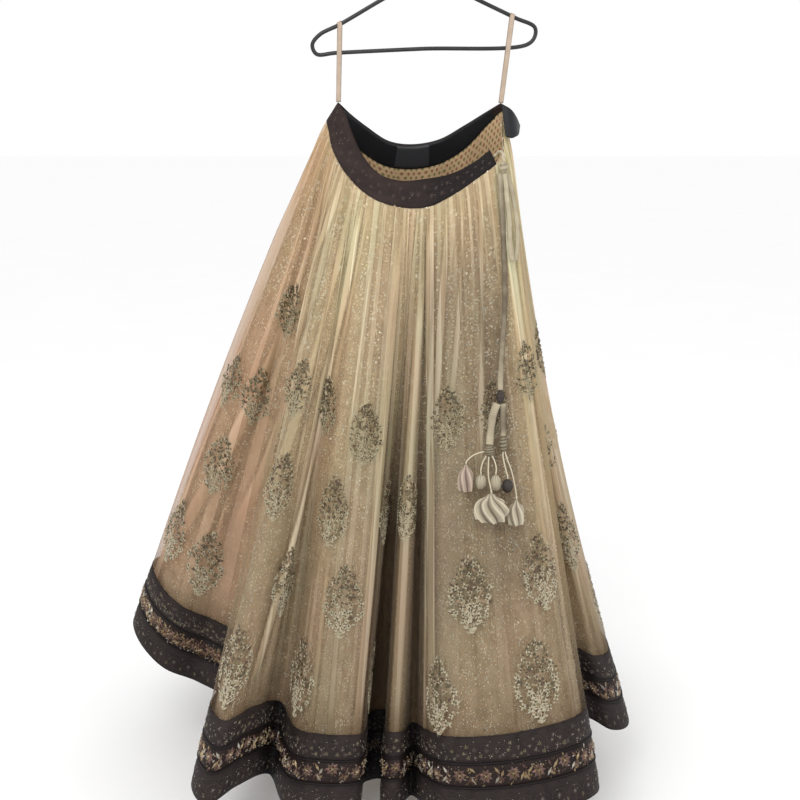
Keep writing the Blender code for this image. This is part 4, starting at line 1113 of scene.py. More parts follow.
border_top = 1.0 - sum(STRIPS) / CLOTH_LENGTH
net_rows = np.linspace(0.0, 1.0, NET_ROW_COUNT) ** 1.2 * (border_top - SEAM_GAP / CLOTH_LENGTH)
border_edges = [border_top]
for strip in STRIPS:
    border_edges.append(border_edges[-1] + strip / CLOTH_LENGTH)
border_rows = [np.linspace(top + SEAM_GAP / CLOTH_LENGTH, low, STRIP_ROWS)
               for top, low in zip(border_edges, border_edges[1:])]
outer_rows = np.concatenate([net_rows, *border_rows])
outer = straight_falls(outer_rows, NET_START, fine_columns)
depth = fold_depth(outer)
crease_height, double, shaded = creased(outer, outer_rows)
outer_normals = outwards(outer)
outer = outer + outer_normals * (gathered(outer, outer_rows) + crease_height + NET_SHIFT)[:, :, None]
outer_normals = outwards(outer)

NET_LEVELS = (0.0, 0.42, 0.88)
# Their darkening towards the hem is partly the net's own tone and partly painted shade.
NET_DYES_AND_SHADE = (
    # the dye at each of the levels: of the cloth, and of its left side panel, which is more peach
    ((240, 224, 190), (250, 222, 184)),
    ((200, 184, 156), (226, 188, 158)),
    ((146, 130, 108), (208, 172, 147)),
)
PEACH_REACH = 0.09           # half the side panel's width, as a share of the round
FALLS_PALE_AND_SHADED = (
    # broad falls of the net: share of the round, half width, share of the length from and to, and
    # how much paler it is there where it hangs bunched, or darker with painted shade in a shaded fall
    (0.165, 0.035, 0.00, 1.00, 0.15),
    (0.345, 0.050, 0.10, 0.68, -0.20),
    (0.378, 0.012, 0.20, 0.64, -0.25),
    (0.412, 0.014, 0.00, 0.64, 0.20),
    (0.475, 0.050, 0.00, 1.00, 0.18),
    (0.720, 0.140, 0.00, 1.00, -0.08),
)
NET_FOLD_SHADE = linear(82, 66, 47)        # painted shade deep in a fold
NET_SHADE_LINE = linear(104, 82, 56)       # painted shade in a trough, beside a ridge and just above the border
NET_DOUBLE = linear(240, 233, 214)   # where it lies double
SHADE_LINE_SHARES = (0.30, 0.25)           # how strongly NET_SHADE_LINE's painted shade shows at the top, and how much more below
SHADE_LINE_GROWTH = 1.5                    # how fast it comes to that, over the share of the length
DOUBLE_SHARES = (0.55, 0.20)         # how strongly NET_DOUBLE shows at the top, how much less at the hem
DOUBLE_FROM = 0.3                    # how double the net lies before it shows at all
FOLD_SHADE_SHARE = 0.92                    # how strongly NET_FOLD_SHADE, the painted shade in folds, shows
SEAM_SHADE = (0.81, 0.06)            # where the painted shade above the border starts, and its rise
SEAM_SHARE = 0.8                     # how dark that painted shade gets

turn = np.arange(fine_columns) / fine_columns


def towards(first, second, share):
    """The first colours moved by a share to the second."""
    return first * (1.0 - share) + second * share


def stretch_of(turn, middle, half):
    """1 in the middle of a stretch of the round, 0 well outside it: exp(-(d / half width)**4)."""
    off = (turn - middle + 0.5) % 1.0 - 0.5
    return np.exp(-(off / half) ** 4)


# The net's dye with painted shade in it: darker low down, in shaded falls, beside ridges, in troughs, deep in
# folds and above the border.
lowness = np.clip(outer_rows * SHADE_LINE_GROWTH, 0.0, 1.0)[None, :, None]
level = np.interp(outer_rows, NET_LEVELS, np.arange(len(NET_LEVELS)))
lower = np.minimum(level.astype(int), len(NET_LEVELS) - 2)
dyes = np.array([[linear(*dye) for dye in pair] for pair in NET_DYES_AND_SHADE])
dyes = towards(dyes[lower], dyes[lower + 1], (level - lower)[:, None, None])
net_dye_and_shade = towards(dyes[:, 0], dyes[:, 1], stretch_of(turn, 0.0, PEACH_REACH)[:, None, None])
# paler raises the dye in bunched falls and lowers it in shaded ones, which is painted shade.
paler = 1.0
for middle, half, start, stop, more in FALLS_PALE_AND_SHADED:
    begun = np.clip((outer_rows - start) / FALL_FADE + 0.5, 0.0, 1.0)
    along = begun * np.clip((stop - outer_rows) / FALL_FADE + 0.5, 0.0, 1.0)
    paler = paler + more * stretch_of(turn, middle, half)[:, None] * along[None, :]
net_dye_and_shade = np.minimum(net_dye_and_shade * paler[:, :, None] ** 2.4, 1.0)
net_dye_and_shade = towards(net_dye_and_shade, NET_SHADE_LINE, (SHADE_LINE_SHARES[0] + SHADE_LINE_SHARES[1] * lowness) * shaded[:, :, None])
double_share = np.clip(double - DOUBLE_FROM, 0.0, 1.0) / (1.0 - DOUBLE_FROM)
double_share = double_share * (DOUBLE_SHARES[0] - DOUBLE_SHARES[1] * outer_rows)[None, :]
net_dye_and_shade = towards(net_dye_and_shade, NET_DOUBLE, double_share[:, :, None])
shaded_folds = depth * fold_darkness(fine_columns, outer_rows)
net_dye_and_shade = towards(net_dye_and_shade, NET_FOLD_SHADE, FOLD_SHADE_SHARE * shaded_folds[:, :, None])
net_dye_and_shade = towards(net_dye_and_shade, NET_SHADE_LINE, SEAM_SHARE * ramp(outer_rows, *SEAM_SHADE)[None, :, None])


def soft_net():
    """Sheer net whose mesh carries its dye, painted shade included, and how double it lies, with fine
    streaks of its own, and painted shade at the edges of its pale bands and in its gathers near the top.

    Alpha = 0.24 + 0.50 double + 0.16 streaks + 0.14 band + 0.14 near the top + 0.06 on a thread.
    """
    finish = Finish("soft net", Roughness=0.8, Specular_IOR_Level=0.15, Sheen_Weight=0.08)
    where = finish.flat()
    _, down = finish.split(where)
    top = finish.spread(down, 0.20, 0.0)
    streaks = finish.streaks(where, 160.0, 2.2, 3.0, 0.6)
    gathers = finish.streaks(where, 34.0, 2.5, 3.0, 0.7)
    folds = finish.streaks(where, 24.0, 0.8)
    band = finish.spread(folds, 0.505, 0.535)
    edge = finish.spread(abs(folds - 0.5), 0.012, 0.002)
    thread = finish.spread(finish.cells(where, 620.0, feature="DISTANCE_TO_EDGE"), 0.30, 0.0)
    cast = finish.spread(finish.streaks(where, 9.0, 3.5), 0.35, 0.65)
    tone = finish.between(band, linear(226, 218, 206), linear(255, 255, 255))
    tone = finish.between(streaks * 0.6, tone, linear(205, 198, 186))
    tone = finish.times(tone, finish.between(cast, linear(255, 245, 242), linear(243, 248, 240)))
    # Painted shade: thin dark lines at the edges of the pale bands.
    tone = finish.between(edge * 0.35, tone, linear(150, 128, 98))
    # Painted shade: darker in the troughs of the gathers near the top.
    tone = finish.between(finish.spread(gathers, 0.46, 0.38) * top * 0.6, tone, linear(138, 116, 86))
    finish.into("Base Color", finish.times(finish.carried("dye", "Color"), tone))
    layers = 0.24 + 0.50 * finish.carried("double") + 0.16 * streaks + 0.14 * band
    finish.into("Alpha", layers + top * 0.14 + thread * 0.06)
    lines = finish.streaks(where, 520.0, 1.5)
    finish.raised(streaks * 0.4 + lines * 0.2 + gathers * 0.4, 0.0035, 0.7)
    return finish


net_finish = soft_net()
side_column = round(round(hem_columns(COLUMNS)[3] * COLUMNS) * FINE)
net_cut = np.stack(np.broadcast_arrays(turn[:, None] * HEM_ROUND, outer_rows * CLOTH_LENGTH), axis=-1)
for name, first, last in (("net_front", 0, side_column), ("net_back", side_column, fine_columns)):
    columns = np.arange(first, last + 1) % fine_columns
    grid, dye, cut, twofold = [values[columns, :NET_ROW_COUNT]
                               for values in (outer, net_dye_and_shade, net_cut, double)]
    new_piece(name + "_cloth", (grid, [grid_faces(*grid.shape[:2])]), [net_finish], "net", name,
                           cut=cut, dye=dye, double=twofold)

# Each buti is a small bush in pointed-oval outline, worked in thread on the net: feathery branches
# in ivory from its foot, a scalloped edge, small flowers crowded above, and knots between them.
THREADS = (
    linear(204, 195, 170),   # 0 ivory
    linear(182, 174, 146),   # 1 pale sage
    linear(94, 86, 66),      # 2 dark olive
    linear(94, 76, 60),      # 3 brown
    linear(122, 110, 82),    # 4 olive
    linear(176, 154, 118),   # 5 old gold
    linear(118, 90, 78),     # 6 copper
    linear(104, 80, 76),     # 7 dull rose
    linear(190, 184, 172),   # 8 silver
    linear(86, 78, 71),      # 9 grey on the border
    linear(74, 62, 56),      # 10 brown on the border
    linear(228, 218, 194),   # 11 cream
    linear(158, 136, 110),   # 12 taupe
    linear(60, 48, 43),      # 13 the band's brown
)
BUTI_SIZE = (0.080, 0.135)   # width and height of one near the hem
BUTI_LIFT = 0.0004
BUTI_LEVELS = (0.94, 0.85, 0.75, 0.65, 0.55, 0.45, 0.35, 0.25, 0.15)   # rows of flowers in one
BUTI_FLOWERS = ((0, 0), (0, 1), (1, 0), (1, 12), (12, 1))   # their petals' dyes, from foot to tip
HIGH_WORK = np.array((0.84, 0.82, 0.74))   # the upper butis are this much darker and duller
HIGH_WORK_FADE = 0.35        # the share of the length where that starts to fade, and its reach
BUTIS = (
    # share of the round and of the length of its middle, size
    (0.0490, 0.285, 0.74), (0.0153, 0.461, 0.78), (0.0383, 0.454, 0.80), (0.1280, 0.355, 0.74),
    (0.1727, 0.362, 0.76), (0.2170, 0.384, 0.80), (0.3313, 0.364, 0.82), (0.4120, 0.337, 0.76),
    (0.3740, 0.371, 0.74), (0.0270, 0.602, 0.84), (0.1297, 0.512, 0.84), (0.1947, 0.518, 0.88),
    (0.2463, 0.514, 0.86), (0.2850, 0.503, 0.86), (0.4843, 0.673, 0.90), (0.0127, 0.770, 0.94),
    (0.0353, 0.779, 0.96), (0.3997, 0.644, 0.92), (0.1530, 0.670, 0.92), (0.2120, 0.659, 0.92),
    (0.3457, 0.652, 0.95), (0.2463, 0.798, 0.96), (0.1250, 0.795, 0.98), (0.1833, 0.796, 1.00),
    (0.3227, 0.814, 1.00), (0.3873, 0.803, 1.00), (0.4480, 0.400, 0.78), (0.4700, 0.520, 0.84),
    (0.4420, 0.790, 0.98), (0.0800, 0.650, 0.90), (0.0850, 0.480, 0.80), (0.0730, 0.800, 0.96),
)
BUTI_ROWS = (
    # the hidden sides: share of the length, first share of the round, step, size
    (0.360, 0.500, 0.051, 0.77),
    (0.515, 0.524, 0.053, 0.86),
    (0.660, 0.535, 0.056, 0.93),
    (0.800, 0.508, 0.060, 0.99),
)


def marks(x, y, angle, length, width, height, dye):
    """Rows of stitches, a value being one number or one a row; dye is a place in the thread table."""
    return np.stack(np.broadcast_arrays(x, y, angle, length, width, height, dye), axis=-1).reshape(-1, 7)


def stitches(rows):
    """Raised leaves on the flat: (x, y) + turn(angle) (length a, width b), height c at their middle.

    Each has a root, two sides, a tip and a ridge point, and four faces.
    """
    x, y, angle, length, width, height, dye = rows.T[:, :, None]
    along = length * np.array((0.0, 0.45, 1.0, 0.45, 0.48))
    side = width * np.array((0.0, -0.5, 0.0, 0.5, 0.0))
    up = height * np.array((0.0, 0.0, 0.0, 0.0, 1.0))
    flat_x = x + np.cos(angle) * along - np.sin(angle) * side
    flat_y = y + np.sin(angle) * along + np.cos(angle) * side
    first = 5 * np.arange(len(rows))[:, None]
    faces = first[:, None] + np.array([(0, 1, 4), (1, 2, 4), (2, 3, 4), (3, 0, 4)])[None]
    return flat_x, flat_y, up, faces.reshape(-1, 3), dye[:, 0].astype(int)


def flower(x, y, petals, length, width, height, dyes, centre, chance):
    """Petals round a point, their dyes in turn, and a raised knot in its middle."""
    angle = 2 * np.pi * np.arange(petals) / petals + chance.uniform(0.0, 1.0)
    dye = np.array(dyes)[np.arange(petals) % len(dyes)]
    return np.vstack([marks(x, y, angle, length, width, height, dye),
                      marks(x - length * 0.22, y, 0.0, length * 0.45, length * 0.45, height * 1.8, centre)])


def buti_half(t):
    """Half width share of a buti at a share of its height: sin(pi t**0.85), pinched in to its foot."""
    t = np.clip(t, 0.0, 1.0)
    return np.sin(np.pi * t**0.85) ** 0.9 * np.clip(0.45 + 2.4 * t, 0.0, 1.0)


def buti(width, height, chance):
    """The stitches of one buti, its foot at the origin."""
    k = width / BUTI_SIZE[0]
    t = chance.uniform(0.08, 0.96, 96)
    x = chance.uniform(-0.42, 0.42, 96) * width * buti_half(t)
    dye = np.where(t < 0.35, chance.choice((4, 12, 3), 96, p=(0.5, 0.3, 0.2)),
                   chance.choice((2, 4, 12, 3), 96, p=(0.25, 0.4, 0.15, 0.2)))
    rows = [marks(x, height * t, chance.uniform(0.0, 6.28, 96), 0.0110 * k, 0.0064 * k, 0.0002, dye)]
    for side in (1.0, -1.0):
        t = np.linspace(0.06, 0.97, 24) + chance.normal(0.0, 0.012, 24)
        reach = width / 2 * buti_half(t) * chance.uniform(0.74, 0.98, 24)
        angle = -0.2 + 1.7 * t + chance.normal(0.0, 0.45, 24)
        angle = angle if side > 0 else np.pi - angle
        edge_dye = np.where(t > 0.60, chance.choice((1, 12, 3, 0), 24), chance.choice((0, 0, 1), 24))
        rows.append(marks(side * reach, height * t, angle, chance.uniform(0.0050, 0.0090, 24) * k,
                          0.0036 * k, 0.0009, edge_dye))
        for branch in range(3):
            start, rise = height * (0.02 + 0.10 * branch), 1.0 + 0.08 * branch
            along = np.arange(0.0, (0.30 + 0.08 * branch) * width, 0.0062 * k)
            bx = side * along * math.cos(rise)
            by = start + along * math.sin(rise) * (1.0 - 2.2 * along)
            way = rise - 5.0 * along
            way = way if side > 0 else np.pi - way
            rows.append(marks(bx, by, way, 0.0075 * k, 0.0018 * k, 0.0010, 0))
            leaf = way + chance.choice((0.9, -0.9), len(way)) + chance.normal(0.0, 0.3, len(way))
            rows.append(marks(bx, by, leaf, chance.uniform(0.0080, 0.0115, len(way)) * k, 0.0036 * k,
                              0.0012, chance.choice((0, 0, 1), len(way))))
    stem = np.arange(-0.03 * height, 0.42 * height, 0.0060 * k)
    rows.append(marks(0.0, stem, np.pi / 2, 0.0075 * k, 0.0022 * k, 0.0011, 0))
    fan = np.linspace(0.65, np.pi - 0.65, 4)
    rows.append(marks(0.0, -0.004 * k, fan, 0.0110 * k, 0.0026 * k, 0.0009, np.arange(4) % 2))
    for level in BUTI_LEVELS:
        reach = max(0.0, width / 2 * float(buti_half(level)) - 0.005 * k)
        count = max(1, int(2 * reach / (0.0145 * k)) + 1)
        for cx in np.linspace(-reach, reach, count) if count > 1 else np.zeros(1):
            dyes = BUTI_FLOWERS[int(chance.integers(3)) + (level > 0.4) + (level > 0.6)]
            x = cx + chance.normal(0.0, 0.0026)
            y = level * height + chance.normal(0.0, 0.0040)
            petals, length = int(chance.integers(4, 7)), chance.uniform(0.0056, 0.0078) * k
            rows.append(flower(x, y, petals, length, 0.0034 * k, 0.0013, dyes, 3, chance))
            rows.append(marks(x - 0.0022 * k, y, 0.0, 0.0044 * k, 0.0042 * k, 0.0026,
                              int(chance.choice((2, 3, 3)))))
    t = chance.uniform(0.30, 0.98, 30)
    x = chance.uniform(-0.50, 0.50, 30) * width * buti_half(t)
    rows.append(marks(x, height * t, chance.uniform(0.0, 6.28, 30), 0.0044, 0.0036, 0.0022,
                      chance.choice((0, 2, 3), 30, p=(0.2, 0.4, 0.4))))
    return np.vstack(rows)


def worn(rows, cloth, turn, share, foot=0.0):
    """Lays stitches on a cloth round a place: x along the row of the cloth there, y up it.

    A cloth is its grid, normals, row shares, length, whether it is closed, and how far they stand off.
    """
    grid, normals, row_shares, length, closed, lift = cloth
    flat_x, flat_y, up, faces, dye = stitches(rows)
    line = grid[:, int(np.argmin(np.abs(row_shares - share)))]
    line = travelled(np.vstack([line, line[:1]]) if closed else line)
    turns = np.linspace(0.0, 1.0, len(line))
    at = np.interp(turn, turns, line) + flat_x
    turn_at = np.interp(at % line[-1] if closed else at, line, turns)
    share_at = share + (foot - flat_y) / length
    points = sampled(grid, row_shares, turn_at, share_at, closed)
    points = points + unit(sampled(normals, row_shares, turn_at, share_at, closed)) * (up + lift)[..., None]
    colours = np.array(THREADS)[dye]
    if closed:
        faded = ramp(share_at[:, :1], HIGH_WORK_FADE, HIGH_WORK_FADE)
        colours = colours * towards(HIGH_WORK, 1.0, faded)
        # Painted shade: stitches on the skirt are darker deep in its folds.
        colours = colours * (1.0 - 0.7 * sampled(shaded_folds, outer_rows, turn_at, share_at)[:, :1])
    return (points.reshape(-1, 3), [faces]), np.repeat(colours, 5, axis=0)


def stitched_piece(name, parts, finish, slot):
    """One object of several laid parts."""
    piece = new_piece(name, joined([shape for shape, _ in parts]), [finish], slot,
                      dye=np.vstack([dye for _, dye in parts]))
    piece.data.shade_flat()
    return piece


thread_finish = dyed_finish("embroidery thread", 1400.0, Roughness=0.5, Specular_IOR_Level=0.3)
net_cloth = (outer, outer_normals, outer_rows, CLOTH_LENGTH, True, BUTI_LIFT)
chance = np.random.default_rng(5)
places = list(BUTIS)
for share, first, step, size in BUTI_ROWS:
    places += [(turn + chance.uniform(-0.006, 0.006), share + chance.uniform(-0.012, 0.012), size)
               for turn in np.arange(first, 0.995, step)]
seam = side_column / fine_columns
for name, low, high in (("net_front", 0.0, seam), ("net_back", seam, 1.0)):
    parts = []
    for turn, share, size in places:
        if low <= turn < high:
            width, height = BUTI_SIZE[0] * size, BUTI_SIZE[1] * size
            parts.append(worn(buti(width, height, chance), net_cloth, turn, share, height / 2))
    stitched_piece(name + "_butis", parts, thread_finish, "net")

for name, band in (("net_front", "waistband_front"), ("net_back", "waistband_back")):
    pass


# ================================================================ hem border
# Three strips of dark brown cloth sewn round the hem: a plain-worked upper and lower one, and
# between two cords of black piping a strip covered with flowers and leaves in metal thread.
BORDER_WALL = 0.0022
BORDER_BROWN = linear(50, 41, 39)
BORDER_DARK = linear(26, 20, 19)
BORDER_FOLD_SHADE = linear(8, 6, 6)
FLORAL_GROUND = linear(40, 28, 25)
PIPING = 0.0036
UPPER_ROSETTES = (
    # share of a repeat, height over the strip's middle
    (0.10, -0.010), (0.35, -0.004), (0.58, -0.011), (0.80, -0.002), (0.95, -0.012), (0.45, 0.008))
PIPING_COLUMNS = 780
WORK_LIFT = 0.0002           # how far the stitches stand off a strip or the band


def deep_finish(name, scale, light, dark, **constants):
    """Slubbed cloth in two dyes, with painted shade, nearly black, deep in a fold."""
    finish = Finish(name, **constants)
    where = finish.flat()
    slub = finish.streaks(where, *scale, 3.0)
    blotch = finish.noise(where, 25.0, 3.0)
    tone = finish.between(finish.spread(slub * 0.6 + blotch * 0.4, 0.35, 0.65), light, dark)
    finish.dyed(finish.carried("depth") * 0.9, tone, BORDER_FOLD_SHADE)
    finish.raised(slub, 0.0006, 0.7)
    return finish


border_finish = deep_finish("dark brown raw silk", (60.0, 900.0), BORDER_BROWN, BORDER_DARK, Roughness=0.7,
                            Specular_IOR_Level=0.2)
floral_finish = deep_finish("floral strip ground", (400.0, 400.0), FLORAL_GROUND, FLORAL_GROUND * 0.4,
                            Roughness=0.6, Specular_IOR_Level=0.2)
piping_finish = Finish("black piping", Roughness=0.6, Specular_IOR_Level=0.2)
piping_grain = piping_finish.noise(piping_finish.place(), 700.0, 2.0)
piping_finish.dyed(piping_grain, linear(16, 12, 12), linear(30, 24, 23))
metal_finish = dyed_finish("metal thread", 900.0, Metallic=0.5, Roughness=0.35)


def beads(chance, width, low, high, count, dyes, size=0.0015, height=0.0010):
    """Small beads scattered over a repeat."""
    x, y = chance.uniform(0.0, width, count), chance.uniform(low, high, count)
    return marks(x, y, 0.0, size, size, height, chance.choice(dyes, count))


def curl(x, y, radius, t, lean, length, dye):
    """Stitches round an arc: (x, y) + r (cos t, sin t), turned by t + lean."""
    return marks(x + radius * np.cos(t), y + radius * np.sin(t), t + lean, length, 0.0012, 0.0005, dye)


def upper_work(width, chance):
    """Uneven rosettes, curls and beads in grey, thickest low on the strip, one repeat."""
    rows = []
    for cx, cy in UPPER_ROSETTES:
        dyes = ((9, 10), (9, 4), (10, 9))[int(chance.integers(3))]
        x, y = cx * width + chance.normal(0.0, 0.001), cy + chance.normal(0.0, 0.0015)
        length, centre = chance.uniform(0.0036, 0.0052), int(chance.choice((8, 9, 10)))
        rows.append(flower(x, y, 6, length, 0.0020, 0.0006, dyes, centre, chance))
    t = np.linspace(0.0, 5.0, 8)
    rows += [curl(cx * width, cy, 0.0045, t, 1.6, 0.0038, 10) for cx, cy in ((0.22, 0.003), (0.70, 0.006))]
    rows.append(beads(chance, width, -0.018, 0.014, 16, (8, 9, 9, 11, 10)))
    return np.vstack(rows)


def floral_work(width, chance):
    """A double flower, long padded leaves to either side, and fillers, one repeat."""
    x = width * 0.27 + chance.normal(0.0, 0.0015)
    y = chance.normal(0.001, 0.002)
    rows = [flower(x, y, 8, 0.0125, 0.0075, 0.0018, (6, 7, 3), 11, chance),
            flower(x, y, 7, 0.0070, 0.0044, 0.0030, (5, 6), 11, chance)]
    angle = np.array((0.95, 0.7, 2.2, -0.9, 1.1)) + chance.normal(0.0, 0.15, 5)
    leaf_x = width * np.array((0.55, 0.66, 0.86, 0.60, 0.80)) + chance.normal(0.0, 0.001, 5)
    leaf_y = np.array((-0.013, -0.012, -0.014, 0.014, -0.004))
    rows.append(marks(leaf_x, leaf_y, angle, chance.uniform(0.013, 0.019, 5), 0.0052, 0.0026,
                      chance.choice((5, 6, 8, 5, 7), 5)))
    rows.append(flower(width * 0.80, -0.008, 6, 0.0065, 0.0040, 0.0020, (5, 7), 11, chance))
    rows.append(marks(chance.uniform(0.0, width, 22), chance.uniform(-0.016, 0.015, 22),
                      chance.uniform(0.0, 6.28, 22), chance.uniform(0.004, 0.008, 22), 0.0030, 0.0016,
                      chance.choice((3, 6, 7, 5, 3, 8), 22)))
    rows.append(beads(chance, width, -0.015, 0.015, 8, (11, 8, 5), 0.0022, 0.0034))
    return np.vstack(rows)


def lower_work(width, chance):
    """An upright loop with a small flower in it, and beads, one repeat."""
    t = np.linspace(0.2, 2.9, 11)
    rows = [marks(width * (0.5 + 0.42 * np.cos(t)), 0.013 * np.sin(t) - 0.006, t + np.pi / 2, 0.0044, 0.0014,
                  0.0006, 10),
            flower(width * 0.5, -0.003, 6, 0.0048, 0.0028, 0.0008, (10, 9), 8, chance),
            flower(width * 0.02, -0.012, 5, 0.0040, 0.0024, 0.0008, (10, 4), 9, chance),
            marks(width * 0.5, np.arange(-0.018, -0.008, 0.004), np.pi / 2, 0.0040, 0.0016, 0.0006, 10)]
    rows.append(beads(chance, width, -0.018, 0.015, 12, (8, 9, 9, 6, 10)))
    return np.vstack(rows)


def repeated(work, width, length, chance):
    """A strip of repeats, each drawn anew, fitted to a length."""
    count = round(length / width)
    return np.vstack([work(width, chance) + (n * length / count, 0, 0, 0, 0, 0, 0) for n in range(count)])


border_cloth = (outer, outer_normals, outer_rows, CLOTH_LENGTH, True, BORDER_WALL / 2 + WORK_LIFT)
hem_length = length_of(np.vstack([outer[:, -1], outer[:1, -1]]))
around = np.arange(PIPING_COLUMNS) / PIPING_COLUMNS
pipings = []
for edge in border_edges[1:3]:
    out = unit(sampled(outer_normals, outer_rows, around, edge + 0.0 * around))
    path = sampled(outer, outer_rows, around, edge + 0.0 * around) + out * BORDER_WALL / 2
    pipings.append(tube(path, out, round_ring(PIPING / 2, 8), closed=True))

for i, (name, finish, work, repeat, thread, slot) in enumerate((
        ("border_upper", border_finish, upper_work, 0.038, thread_finish, "border"),
        ("border_floral", floral_finish, floral_work, 0.045, metal_finish, "floral_border"),
        ("border_lower", border_finish, lower_work, 0.030, thread_finish, "border"))):
    rows = slice(NET_ROW_COUNT + STRIP_ROWS * i, NET_ROW_COUNT + STRIP_ROWS * (i + 1))
    wall = closed_wall(outer[::2, rows], outer_normals[::2, rows], BORDER_WALL)
    piece = new_piece(name + "_cloth", wall, [finish], slot, name, cut=net_cut[::2, rows],
                      depth=depth[::2, rows])
    middle = (border_edges[i] + border_edges[i + 1]) / 2
    stitched = repeated(work, repeat, hem_length, np.random.default_rng(20 + i))
    on_it = [stitched_piece(name + "_work", [worn(stitched, border_cloth, 0.0, middle)], thread, slot)]
    if name == "border_floral":
        on_it.append(new_piece("border_piping", joined(pipings), [piping_finish], "border"))


# ================================================================ waistband
# A band of dark brown silk worked all over with small flowers, in a back and a front strip that
# meet at the left peak. The back strip has a black satin facing with a bare black label on it,
# and its right end is turned over outwards, so that its black side shows.
BACK_END = 12.0
BAND_JOIN = 20.0
FRONT_END = 28.8
BAND_WALL = 0.0030
FACING_WALL = 0.0010
LABEL_WALL = 0.0010
BAND_STEP = 0.05             # rows of WAIST between two columns of the fine band
BAND_ROWS = 9
BAND_COLUMNS = 24            # columns of the frame's own back band
TURNED_COLUMNS, TURNED_ROWS = 30, 15
TURNED_END = (
    # name          top x    top y    top z    low x    low y    low z
    ("fold",         0.137,  0.000, -0.292,   0.143, -0.031, -0.349),
    ("near fold",    0.153, -0.006, -0.302,   0.154, -0.032, -0.352),
    ("near edge",    0.164,  0.000, -0.316,   0.162, -0.026, -0.350),
    ("free edge",    0.172,  0.012, -0.331,   0.168, -0.012, -0.346),
)


def open_wall(grid, normals, wall, seam=0.0):
    """A wall round an open grid, closed on its four edges; seam draws its two ends in."""
    grid = grid.copy()
    grid[0] += unit(grid[1] - grid[0]) * seam
    grid[-1] += unit(grid[-2] - grid[-1]) * seam
    count, rows = grid.shape[:2]
    front = grid_faces(count, rows)
    back = front[:, ::-1] + count * rows
    rim = np.concatenate([np.arange(count) * rows, (count - 1) * rows + np.arange(1, rows),
                          np.arange(count - 2, -1, -1) * rows + rows - 1, np.arange(rows - 2, 0, -1)])
    after = np.roll(rim, -1)
    edge = np.stack([rim, after, after + count * rows, rim + count * rows], axis=1)
    return both_sides(grid, normals, wall), [front, back, edge]


def ruled(top, low, rows, inset=0.0):
    """P(w, h) = top(w) (1 - h) + low(w) h, with h from the inset to 1 less the inset."""
    shares = np.linspace(inset, 1.0 - inset, rows)[None, :, None]
    return top[:, None] * (1.0 - shares) + low[:, None] * shares


def flat_of(grid):
    """Cloth coordinates of an open grid: length along its middle row, length across."""
    across = travelled(grid[:, grid.shape[1] // 2])
    down = np.linspace(0.0, np.linalg.norm(grid[:, -1] - grid[:, 0], axis=1).mean(), grid.shape[1])
    return np.stack(np.broadcast_arrays(across[:, None], down[None, :]), axis=-1)


BAND_BROWN = linear(54, 41, 37)
BAND_DARK = linear(24, 17, 17)
SATIN_BLACK = linear(25, 26, 30)
BAND_REPEAT = 0.022
BAND_MARGIN = 0.005          # plain cloth at each end of the work

band_finish = Finish("dark brown band silk", Roughness=0.65, Specular_IOR_Level=0.2)
band_where = band_finish.flat()
band_along, _ = band_finish.split(band_where)
band_weave = band_finish.streaks(band_where, 900.0, 300.0, 3.0)
band_blotch = band_finish.noise(band_where, 60.0, 3.0)
band_wear = band_finish.streaks(band_where, 14.0, 40.0, 3.0)
band_tone_and_shade = band_weave * 0.3 + band_blotch * 0.3 + band_wear * 0.4
# Painted shade: darker from 0.22 m along each strip, fully so from 0.40 m, over the front strip's right part.
band_tone_and_shade = band_tone_and_shade + band_finish.spread(band_along, 0.22, 0.40) * 0.35
band_finish.dyed(band_finish.spread(band_tone_and_shade, 0.36, 0.68), BAND_BROWN, BAND_DARK)
band_finish.raised(band_weave, 0.0007, 0.8)


def woven_finish(name, along, across, light, dark, **constants):
    """Satin: two dyes by the place in its weave, and raised by it."""
    finish = Finish(name, **constants)
    weave = finish.streaks(finish.flat(), along, across)
    finish.dyed(weave, light, dark)
    finish.raised(weave, 0.0004, 0.5)
    return finish


satin_finish = woven_finish("black facing satin", 200.0, 1600.0, SATIN_BLACK, SATIN_BLACK * 0.5,
                            Roughness=0.45, Specular_IOR_Level=0.3)
label_finish = woven_finish("label satin", 1600.0, 250.0, linear(50, 50, 54), linear(30, 30, 33),
                            Roughness=0.5)


def band_work(width, chance):
    """Small flowers in two uneven rows with curls between, in the band's own brown, one repeat."""
    t = np.linspace(0.3, 4.2, 7)
    rows = []
    for share, y in ((0.25, 0.008), (0.75, -0.008)):
        x = width * share + chance.normal(0.0, 0.002)
        rows.append(flower(x, y + chance.normal(0.0, 0.003), 6, 0.0046, 0.0028, 0.0007, (10, 13), 10, chance))
        x = width * (1.0 - share) + chance.normal(0.0, 0.001)
        rows.append(curl(x, y, 0.004, t, np.pi / 2, 0.0030, 13))
    rows.append(beads(chance, width, -0.017, 0.017, 3, (8, 9, 9, 6)))
    return np.vstack(rows)


